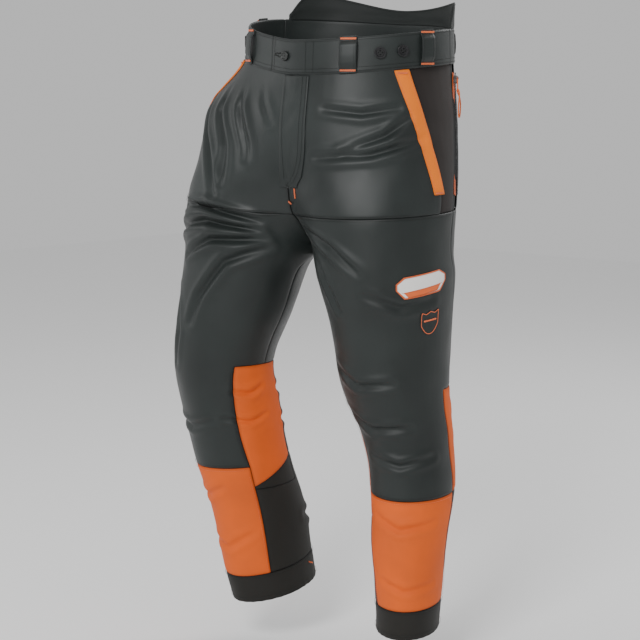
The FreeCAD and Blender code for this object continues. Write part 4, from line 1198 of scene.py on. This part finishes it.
def waist_run(first, last, drop, out, count):
    turns = [first + (last - first) * i / count for i in range(count + 1)]
    spots = [on_waist(turn, drop(turn) if callable(drop) else drop, out) for turn in turns]
    return spots, [waist_out(turn) for turn in turns]


for name, drop in (("band_stitch_top", 4.0), ("band_stitch_low", 50.5), ("band_stitch_foot", 56.5)):
    spots, outs = waist_run(-180, 180, drop, BAND_PROUD + 0.75, 240)
    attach(stitch_row(name, spots, outs, DARK_THREAD), "trousers")
for name, out in (("yoke_stitch_out", BAND_PROUD + 0.55),
                  ("yoke_stitch_in", BAND_PROUD - BAND_THICK - 0.5)):
    spots, outs = waist_run(180 - YOKE_REACH + 2, 180 + YOKE_REACH - 2,
                            lambda turn: -yoke_height(turn) + 3.4, out, 120)
    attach(stitch_row(name, spots, outs, DARK_THREAD), "trousers")


LOOP_WIDE, LOOP_THICK, LOOP_SEAT, WAIST_RADIUS = 30.0, 2.2, 1.4, 180
LOOP_DROPS = (-3.0, 1.0, 5.0, 8.0, 12.0, 30.0, 44.0, 49.0, 53.0, 57.0, 60.0)
LOOP_LIFTS = (0.2, 0.0, 0.0, 2.6, 5.2, 6.0, 5.0, 2.6, 0.0, 0.0, 0.2)


def belt_loop(name, angle):
    """A strap sewn down at both ends and lifted between them, so that a belt goes through."""
    half = math.degrees(LOOP_WIDE / 2 / WAIST_RADIUS)

    def place(u, v):
        i = min(9, int(v * 10))
        t = v * 10 - i
        drop = LOOP_DROPS[i] + (LOOP_DROPS[i + 1] - LOOP_DROPS[i]) * t
        lift = LOOP_LIFTS[i] + (LOOP_LIFTS[i + 1] - LOOP_LIFTS[i]) * t
        roll = 0.35 * (1 - (2 * u - 1) ** 2)
        turn = angle - half + 2 * half * u
        return on_waist(turn, drop, BAND_PROUD + LOOP_SEAT + lift + LOOP_THICK + roll)
    made = patch(f"loop_{name}_strap", place, (6, 30), SATIN, thick=LOOP_THICK,
                 uv_size=(0.02, 0.075))
    faces_out(made.name, waist_out(angle))
    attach(made, "trousers")
    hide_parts(f"belt_loop_{name}")
    for k, turn in enumerate((angle - half * 0.66, angle + half * 0.66)):
        spots = [on_waist(turn, drop, BAND_PROUD + LOOP_SEAT + lift + 2.4)
                 for drop, lift in zip(LOOP_DROPS, LOOP_LIFTS)]
        outs = [waist_out(angle)] * len(spots)
        row = stitch_row(f"loop_{name}_stitch_{k}", spots, outs, DARK_THREAD)
        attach(row, "trousers")


for name, angle in LOOP_TURNS.items():
    belt_loop(name, angle)


# %% [markdown]
# The pockets: an orange welt folded along each mouth, its edge stitching, and a cloth bag behind
# it.

# %% Pockets
WELT_WIDE = 23.0


def make_welt(side):
    def place(u, v):
        drop = BAND_FOOT + 1 + (WELT_FOOT - 6 - BAND_FOOT) * v
        way = welt_way(side, drop) + (u * WELT_WIDE - WELT_WIDE * 0.75) / girth(side, drop)
        roll = 0.7 * (1 - (2 * u - 1) ** 2)
        return on_cloth(side, way, drop, 2.5 + roll)
    made = patch(f"welt_{side}", place, (8, 60), WELT, thick=1.6, uv_size=(0.023, 0.23))
    faces_out(made.name, form_normal(side, 0.35, 180))
    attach(made, "trousers")
    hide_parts(f"pocket_welt_{side}")
    for k, share in enumerate((0.12, 0.86)):
        spots, outs = [], []
        for step in range(50):
            drop = BAND_FOOT + 4 + (WELT_FOOT - 14 - BAND_FOOT) * step / 49
            way = welt_way(side, drop) + (share - 0.75) * WELT_WIDE / girth(side, drop)
            spots.append(on_cloth(side, way, drop, 3.0))
            outs.append(form_normal(side, way, drop))
        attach(stitch_row(f"welt_{side}_stitch_{k}", spots, outs, THREAD), "trousers")


BAG_TOP, BAG_TALL = 70, 213


def make_bag(side):
    def place(u, v):
        drop = BAG_TOP + BAG_TALL * v
        first = welt_way(side, drop) * 0.3
        way = first + (0.47 - first) * u
        depth = 6.2 + 0.8 * math.sin(9 * u)
        return form(side, way, drop) - form_normal(side, way, drop) * depth * MM
    made = patch(f"bag_{side}", place, (24, 30), LINING, thick=1.2, uv_size=(0.15, 0.2))
    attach(made, "trousers")
    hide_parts(f"pocket_bag_{side}")


for side in SIDES:
    make_welt(side)
    make_bag(side)


# %% [markdown]
# The fly: a placket flap over the zip, closed by a J-shaped row of stitches, with a shield behind
# it. "Reach" is millimetres from the centre front towards the wearer's left.

# %% Fly
FLY_EDGE, FLY_WIDTH, FLY_FOOT = -12.0, 27.0, 253.0


def fly_way(reach, drop):
    side = "left" if reach >= 0 else "right"
    return side, abs(reach) / girth(side, drop)


def fly_spot(reach, drop, out):
    return on_cloth(*fly_way(reach, drop), drop, out)


def fly_out(reach, drop):
    side, way = fly_way(reach, drop)
    return form_normal(side, max(0.012, way), drop)


def placket_place(u, v):
    drop = BAND_FOOT + 1 + (FLY_FOOT - BAND_FOOT - 1) * v
    width = FLY_WIDTH * (1 - 0.30 * ease(v, 0.88, 1.0))
    reach = FLY_EDGE + (width - FLY_EDGE) * u
    puff = 0.8 * math.sin(math.pi * u) + 0.8 * noise.noise(Vector((u * 3, v * 9, 2)))
    return fly_spot(reach, drop, 2.9 + puff)


placket = patch("placket", placket_place, (18, 60), SATIN, thick=2.6, uv_size=(0.055, 0.19))
faces_out("placket", Vector((0, -1, 0)))
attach(placket, "trousers")
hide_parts("fly_placket")


SHIELD_TOP, SHIELD_TALL, SHIELD_EDGE, SHIELD_WIDE, SHIELD_DEEP = 65, 166, -30, 54, 25


def shield_place(u, v):
    drop = SHIELD_TOP + SHIELD_TALL * v
    reach = SHIELD_EDGE + SHIELD_WIDE * u
    side, way = fly_way(reach, drop)
    return form(side, way, drop) - fly_out(reach, drop) * SHIELD_DEEP * MM


shield = patch("shield", shield_place, (12, 24), LINING, thick=1.8, uv_size=(0.054, 0.166))
faces_out("shield", Vector((0, -1, 0)))
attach(shield, "trousers")
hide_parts("fly_shield")


def fly_line(points, out=4.2, steps=16):
    line = list(walk(points, steps))
    return [fly_spot(*at, out) for at in line], [fly_out(*at) for at in line]


J_LINE = [(24, 62), (24, 110), (23, 160), (22, 205), (19, 228), (13, 242), (5, 250), (0, 251)]
for k, shift in enumerate((0.0, -5.5)):
    line = [(reach + shift, drop - (2 * k if i > 3 else 0))
            for i, (reach, drop) in enumerate(J_LINE)]
    spots, outs = fly_line(line)
    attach(stitch_row(f"fly_stitch_{k}", spots, outs, DARK_THREAD), "trousers")
spots, outs = fly_line([(-8, 62), (-8, 150), (-6, 244)], 4.0)
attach(stitch_row("fly_edge_stitch", spots, outs, DARK_THREAD), "trousers")


# %% [markdown]
# Badge and emblem. The badge is a plain six-sided label with an orange foot; the emblem is a
# shield drawn with a thick thread outline and one bar. Neither carries any lettering.

# %% Badge and emblem
BADGE = {"turn": 62.0, "drop": 412.0, "wide": 94.0, "tall": 42.0, "rise": 14.0}
EMBLEM = {"turn": 68.0, "drop": 478.0, "wide": 34.0, "tall": 44.0, "rise": 5.0}


def label_place(label, out, shrink=0.0, outline=None):
    """Places on a label by u and v, with its upright edges pulled in to a given outline."""
    middle = way_of("left", label["drop"], label["turn"])
    around = girth("left", label["drop"])

    def place(u, v):
        top, foot = 0.0, 1.0
        if outline:
            top, foot = outline(u)
        at = top + (foot - top) * v
        x = (u - 0.5) * (label["wide"] - 2 * shrink)
        y = (at - 0.5) * (label["tall"] - 2 * shrink) - label["rise"] * (u - 0.5)
        return on_cloth("left", middle + x / around, label["drop"] + y, out)
    return place


def hexagon(u):
    """Top and foot of a wide six-sided label: cut corners and slightly pointed ends."""
    cut = 0.30 * max(0.0, 1 - min(u, 1 - u) / 0.14)
    return 0.06 + cut * 0.8, 0.94 - cut * 1.3


def shield_outline(u):
    edge = abs(u - 0.5) * 2
    return 0.04 + 0.10 * (1 - abs(edge - 0.5) * 2), 0.98 - 0.40 * edge ** 2.2


def label_piece(name, label, out, material, shrink, outline, counts=(36, 14)):
    made = patch(name, label_place(label, out, shrink, outline), counts, material, thick=0.9,
                 levels=0, uv_size=(0.09, 0.04))
    faces_out(name, form_normal("left", 0.4, label["drop"]))
    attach(made, "trousers")
    return made


badge_back = label_piece("badge_back", BADGE, 1.9, LABEL_ORANGE, 0.0, hexagon)
label_piece("badge_face", BADGE, 2.3, LABEL, 2.4, hexagon)


def badge_foot(u):
    top, foot = hexagon(u)
    return max(top, 0.66), max(foot, 0.67)


label_piece("badge_bar", dict(BADGE, wide=80.0), 2.6, LABEL_ORANGE, 2.4, badge_foot, (30, 4))
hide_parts("badge")
emblem_back = label_piece("emblem_back", EMBLEM, 1.7, DOUBLED, 0.0, shield_outline)
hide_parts("emblem")


def outline_row(name, label, out, shrink, outline, material):
    """A closed row of satin stitches round a label's edge."""
    place = label_place(label, out, shrink, outline)
    rim = [(u / 24, 0) for u in range(25)] + [(1, v / 8) for v in range(1, 9)]
    rim += [(1 - u / 24, 1) for u in range(1, 25)] + [(0, 1 - v / 8) for v in range(1, 9)]
    spots = [place(u, v) for u, v in rim]
    out_way = form_normal("left", 0.4, label["drop"])
    row = stitch_row(name, spots, [out_way] * len(spots), material, length=2.2, gap=0.05, wide=1.3)
    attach(row, "trousers")


outline_row("badge_edge", BADGE, 2.1, 0.6, hexagon, LABEL_ORANGE)
outline_row("emblem_edge", EMBLEM, 2.0, 1.4, shield_outline, THREAD)
bar_spots = [label_place(EMBLEM, 2.1)(0.16 + 0.68 * i / 10, 0.42) for i in range(11)]
bar_out = form_normal("left", 0.4, EMBLEM["drop"])
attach(stitch_row("emblem_bar", bar_spots, [bar_out] * 11, THREAD, length=2.2, gap=0.05, wide=3.2),
        "trousers")


# %% [markdown]
# Bartacks hold what is pulled hardest: the ends of the belt loops, the ends of the pockets and
# the foot of the fly. Each is a row of short slanting threads.

# %% Bartacks
def waist_bartacks():
    bm = bmesh.new()
    for angle in LOOP_TURNS.values():
        for drop in (1.6, BAND_FOOT - 4.4):
            out = waist_out(angle)
            along = Vector((0, 0, 1)).cross(out)
            thread_bar(bm, on_waist(angle, drop, BAND_PROUD + 4.3), along, out, 27, 3.0, 17)
    for side in SIDES:
        for drop in (BAND_FOOT + 7, WELT_FOOT - 8):
            way = welt_way(side, drop) - 0.012
            out = form_normal(side, way, drop)
            along = Vector((0, 0, 1)).cross(out)
            thread_bar(bm, on_cloth(side, way, drop, 3.9), along, out, 17, 2.8, 11)
    for reach, drop, upright in ((14, 262, True), (1, 276, False)):
        out = fly_out(reach, drop)
        along = Vector((0, 0, -1)) if upright else Vector((1, 0, -0.25))
        along = (along - out * along.dot(out)).normalized()
        thread_bar(bm, fly_spot(reach, drop, 1.6), along, out, 17, 3.0, 11)
    made = mesh_object("bartack_threads", bm, THREAD, smooth=False)
    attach(made, "trousers")
    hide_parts("bartacks")


TACK_WAY, TACK_DROP = 0.93, HEM - 36


def hem_tack(side):
    """The tack on a hem rides its own shin."""
    bm = bmesh.new()
    out = form_normal(side, TACK_WAY, TACK_DROP)
    centre = on_cloth(side, TACK_WAY, TACK_DROP, 1.6)
    thread_bar(bm, centre, Vector((1, 0, 0)), out, 15, 2.6, 10)
    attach(mesh_object(f"hem_tack_{side}", bm, THREAD, smooth=False), f"{side}_shin")


waist_bartacks()
for side in SIDES:
    hem_tack(side)


# %% [markdown]
# Top stitching along the seams, laid on the draped cloth. Rows above the knee bend or stay with
# the trousers, rows below ride the shins.

# %% Seam stitching
def seam_row(name, side, points, material=DARK_THREAD, out=2.0, steps=14):
    """Stitches along (way, drop) points on the cloth."""
    spots, outs = [], []
    for way, drop in walk(points, steps, extra=1):
        drop += sag(side, way, drop)
        spots.append(on_cloth(side, way, drop, out))
        outs.append(form_normal(side, way, drop))
    return stitch_row(name, spots, outs, material)


def guide_row(side, index, drops, shift):
    return [(guides(side, drop)[index] + shift / girth(side, drop), drop) for drop in drops]


for side in SIDES:
    ride_top, ride_low = "trousers", f"{side}_shin"
    hip = [(0.03 + 0.30 * i / 8, HIP_SEAM - 3) for i in range(9)]
    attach(seam_row(f"hip_stitch_a_{side}", side, hip), ride_top)
    hip = [(0.03 + 0.43 * i / 10, HIP_SEAM + 4) for i in range(11)]
    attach(seam_row(f"hip_stitch_b_{side}", side, hip), ride_top)
    knee = [(0.12 + 0.32 * i / 8, THIGH_FOOT - 4) for i in range(9)]
    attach(seam_row(f"knee_stitch_{side}", side, knee), ride_low)
    shin = [(0.12 + 0.32 * i / 8, THIGH_FOOT + 5) for i in range(9)]
    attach(seam_row(f"shin_stitch_{side}", side, shin, THREAD), ride_low)
    for index, shift in ((1, 4.0), (2, -4.0)):
        row = guide_row(side, index, (800, 840, 880, 920, 960, 974), shift)
        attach(seam_row(f"shin_edge_{index}_{side}", side, row, THREAD), ride_low)
        row = guide_row(side, index, (612, 650, 690, 730, 770), shift)
        bend(seam_row(f"knee_edge_{index}_{side}", side, row))
    around = [(i / 24, CUFF_TOP + 3) for i in range(25)]
    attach(seam_row(f"cuff_top_{side}", side, around, steps=5), ride_low)
    around = [(i / 24, HEM - 7) for i in range(25)]
    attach(seam_row(f"hem_stitch_{side}", side, around, steps=5), ride_low)


# %% [markdown]
# The cut pads hang inside the front of each leg, quilted in rows. They cross the knee, so they
# bend.

# %% Cut pads
def make_cut_pad(side):
    share = {"left": (0.07, 0.39), "right": (0.07, 0.41)}[side]

    def place(u, v):
        drop = HIP_SEAM + 8 + (CUFF_TOP - 22 - HIP_SEAM) * v
        way = share[0] + (share[1] - share[0]) * u
        quilt = 1.1 * abs(math.sin(math.pi * u * 6)) ** 0.5
        return form(side, way, drop) - form_normal(side, way, drop) * (11.4 - quilt) * MM
    made = patch(f"pad_{side}", place, (36, 90), PADDING, thick=5.0, levels=0, uv_size=(0.16, 0.66))
    faces_out(made.name, form_normal(side, 0.25, 500))
    bend(made)
    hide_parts(f"cut_pad_{side}")


for side in SIDES:
    make_cut_pad(side)


# %% [markdown]
# Hardware. The frame's own solids are exact for the buttons and zip sliders, so they stay and
# only get a finish. Teeth are added over each plain strip, threads in the buttons, and the
# buttonhole's edge.

# %% Hardware finishes
HARDWARE = {
    "waist_button": TACK, "waist_button_tack": TACK, "side_zip_slider": ZIP_METAL,
    "fly_zip_slider": ZIP_METAL, "fly_zip_pull": ZIP_METAL, "side_zip_tape": ORANGE_TAPE,
    "fly_zip_tape": TAPE, "side_zip_pull": ORANGE_TAPE, "brace_buttons_front_left": BUTTON,
    "brace_buttons_front_right": BUTTON, "brace_buttons_back": BUTTON,
}
for node, finish in HARDWARE.items():
    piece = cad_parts[node]
    piece.data.materials.clear()
    piece.data.materials.append(finish)
print(len(HARDWARE), "solids of the frame have a finish")

BRACE_TURNS = (50.0, 63.0, -55.5, -69.5, 168.0, -168.0)
BUTTON_DROP = 29.0
HOLE_TURN = -8.6


def button_threads():
    """Thread bars between the four holes of each brace button."""
    bm = bmesh.new()
    for turn in BRACE_TURNS:
        out = waist_out(turn, BUTTON_DROP)
        seat = on_waist(turn, BUTTON_DROP) + out * (BAND_PROUD + 0.1) * MM
        across = Vector((0, 0, 1)).cross(out).normalized()
        up = out.cross(across)
        top = seat + out * (2.2 + 2.7) * MM
        for sign in (-1, 1):
            add_bar(bm, top + across * sign * 2.2 * MM, (across, up, out),
                    (1.3 * MM, 5.4 * MM, 0.9 * MM))
    made = mesh_object("button_threads", bm, DARK_THREAD, smooth=False)
    round_edges(made, 0.3, 2)
    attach(made, "trousers")


button_threads()


def buttonhole():
    """A keyhole opening worked in thread, beside the waist button."""
    spots = []
    for i in range(37):
        t = i / 36 * 2 * math.pi
        wide = 3.4 if math.cos(t) > 0 else 2.2
        turn, drop = HOLE_TURN + 2.9 * math.cos(t), BUTTON_DROP + wide * math.sin(t)
        spots.append(on_waist(turn, drop, BAND_PROUD + 1.0))
    outs = [waist_out(HOLE_TURN)] * len(spots)
    row = stitch_row("buttonhole_edge", spots, outs, DARK_THREAD, length=1.1, gap=0.1, wide=2.0)
    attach(row, "trousers")


buttonhole()
for k, turn in enumerate((TAB + 2.2, 9.0, 13.5)):
    spots = [on_waist(turn, 4 + 52 * i / 12, BAND_PROUD + 0.9) for i in range(13)]
    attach(stitch_row(f"tab_stitch_{k}", spots, [waist_out(turn)] * 13, DARK_THREAD), "trousers")


# %% [markdown]
# The frame has a plain strip where each zip's teeth are. We read the strip's direction from its
# longest edges and set the teeth along it, left and right in turn.

# %% Zip teeth
def zip_teeth(node, name, pitch=2.2):
    """Moulded teeth, left and right in turn, along the frame's plain strip."""
    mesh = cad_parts[node].data
    points = [vert.co for vert in mesh.vertices]
    top = max(points, key=lambda p: p.z)
    foot = min(points, key=lambda p: p.z)
    middle = sum(points, Vector()) / len(points)
    edges = sorted((((a - b).length, (a - b).normalized()) for a, b in
                    ((points[e.vertices[0]], points[e.vertices[1]]) for e in mesh.edges)),
                   key=lambda pair: -pair[0])
    down = max((way for size, way in edges if size > 0.05), key=lambda way: abs(way.z))
    down = down if down.z < 0 else -down
    long = (foot - top).dot(down)
    wide = max((way for size, way in edges
                if 0.002 < size < 0.012 and abs(way.dot(down)) < 0.2),
               key=lambda way: way.length, default=Vector((1, 0, 0)))
    out = wide.cross(down).normalized()
    span = [(p - middle).dot(wide) for p in points]
    half = max(span)
    rise = max((p - middle).dot(out) for p in points)
    bm = bmesh.new()
    for i in range(int(long / MM / pitch)):
        along = middle + down * (-long / 2 + (i + 0.5) * pitch * MM)
        side = half * 0.28 * (1 if i % 2 else -1)
        add_bar(bm, along + wide * side, (wide, down, out),
                (half * 1.4, pitch * 0.62 * MM, rise * 2))
    made = mesh_object(name, bm, TEETH, smooth=False)
    round_edges(made, 0.25, 2)
    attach(made, "trousers")
    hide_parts(node)


zip_teeth("side_zip_teeth", "side_teeth")
zip_teeth("fly_zip_teeth", "fly_teeth")


# %% [markdown]
# The loop of cord on the side zip's pull: a NURBS curve through thirteen given points.

# %% Cord
CORD_POINTS = ((187.65, 69.02, -85.87), (190.45, 68.66, -90.69), (193.58, 64.89, -96.66),
               (195.34, 60.84, -106.94), (196.64, 57.81, -118.52), (197.77, 56.71, -129.48),
               (196.73, 60.21, -134.97), (194.46, 65.65, -131.24), (192.62, 68.92, -120.3),
               (191.59, 70.55, -108.4), (189.32, 70.45, -97.93), (186.32, 67.82, -90.21),
               (185.89, 68.08, -85.99))
curve = bpy.data.curves.new("cord", "CURVE")
curve.dimensions = "3D"
curve.bevel_depth = 1.25 * MM
curve.bevel_resolution = 4
curve.resolution_u = 10
line = curve.splines.new("NURBS")
line.points.add(len(CORD_POINTS) - 1)
for point, spot in zip(line.points, CORD_POINTS):
    point.co = (*(c * MM for c in spot), 1.0)
line.order_u = 3
line.use_endpoint_u = True
curve.materials.append(CORD)
cord = bpy.data.objects.new("pull_cord_loop", curve)
bpy.context.scene.collection.objects.link(cord)
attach(cord, "side_zip_pull")
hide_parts("side_zip_cord")

# %% [markdown]
# Last, we print the frame's own box.

# %% Sizes and finish
print("cad box", [[round(c, 4) for c in corner] for corner in CAD_BOX])
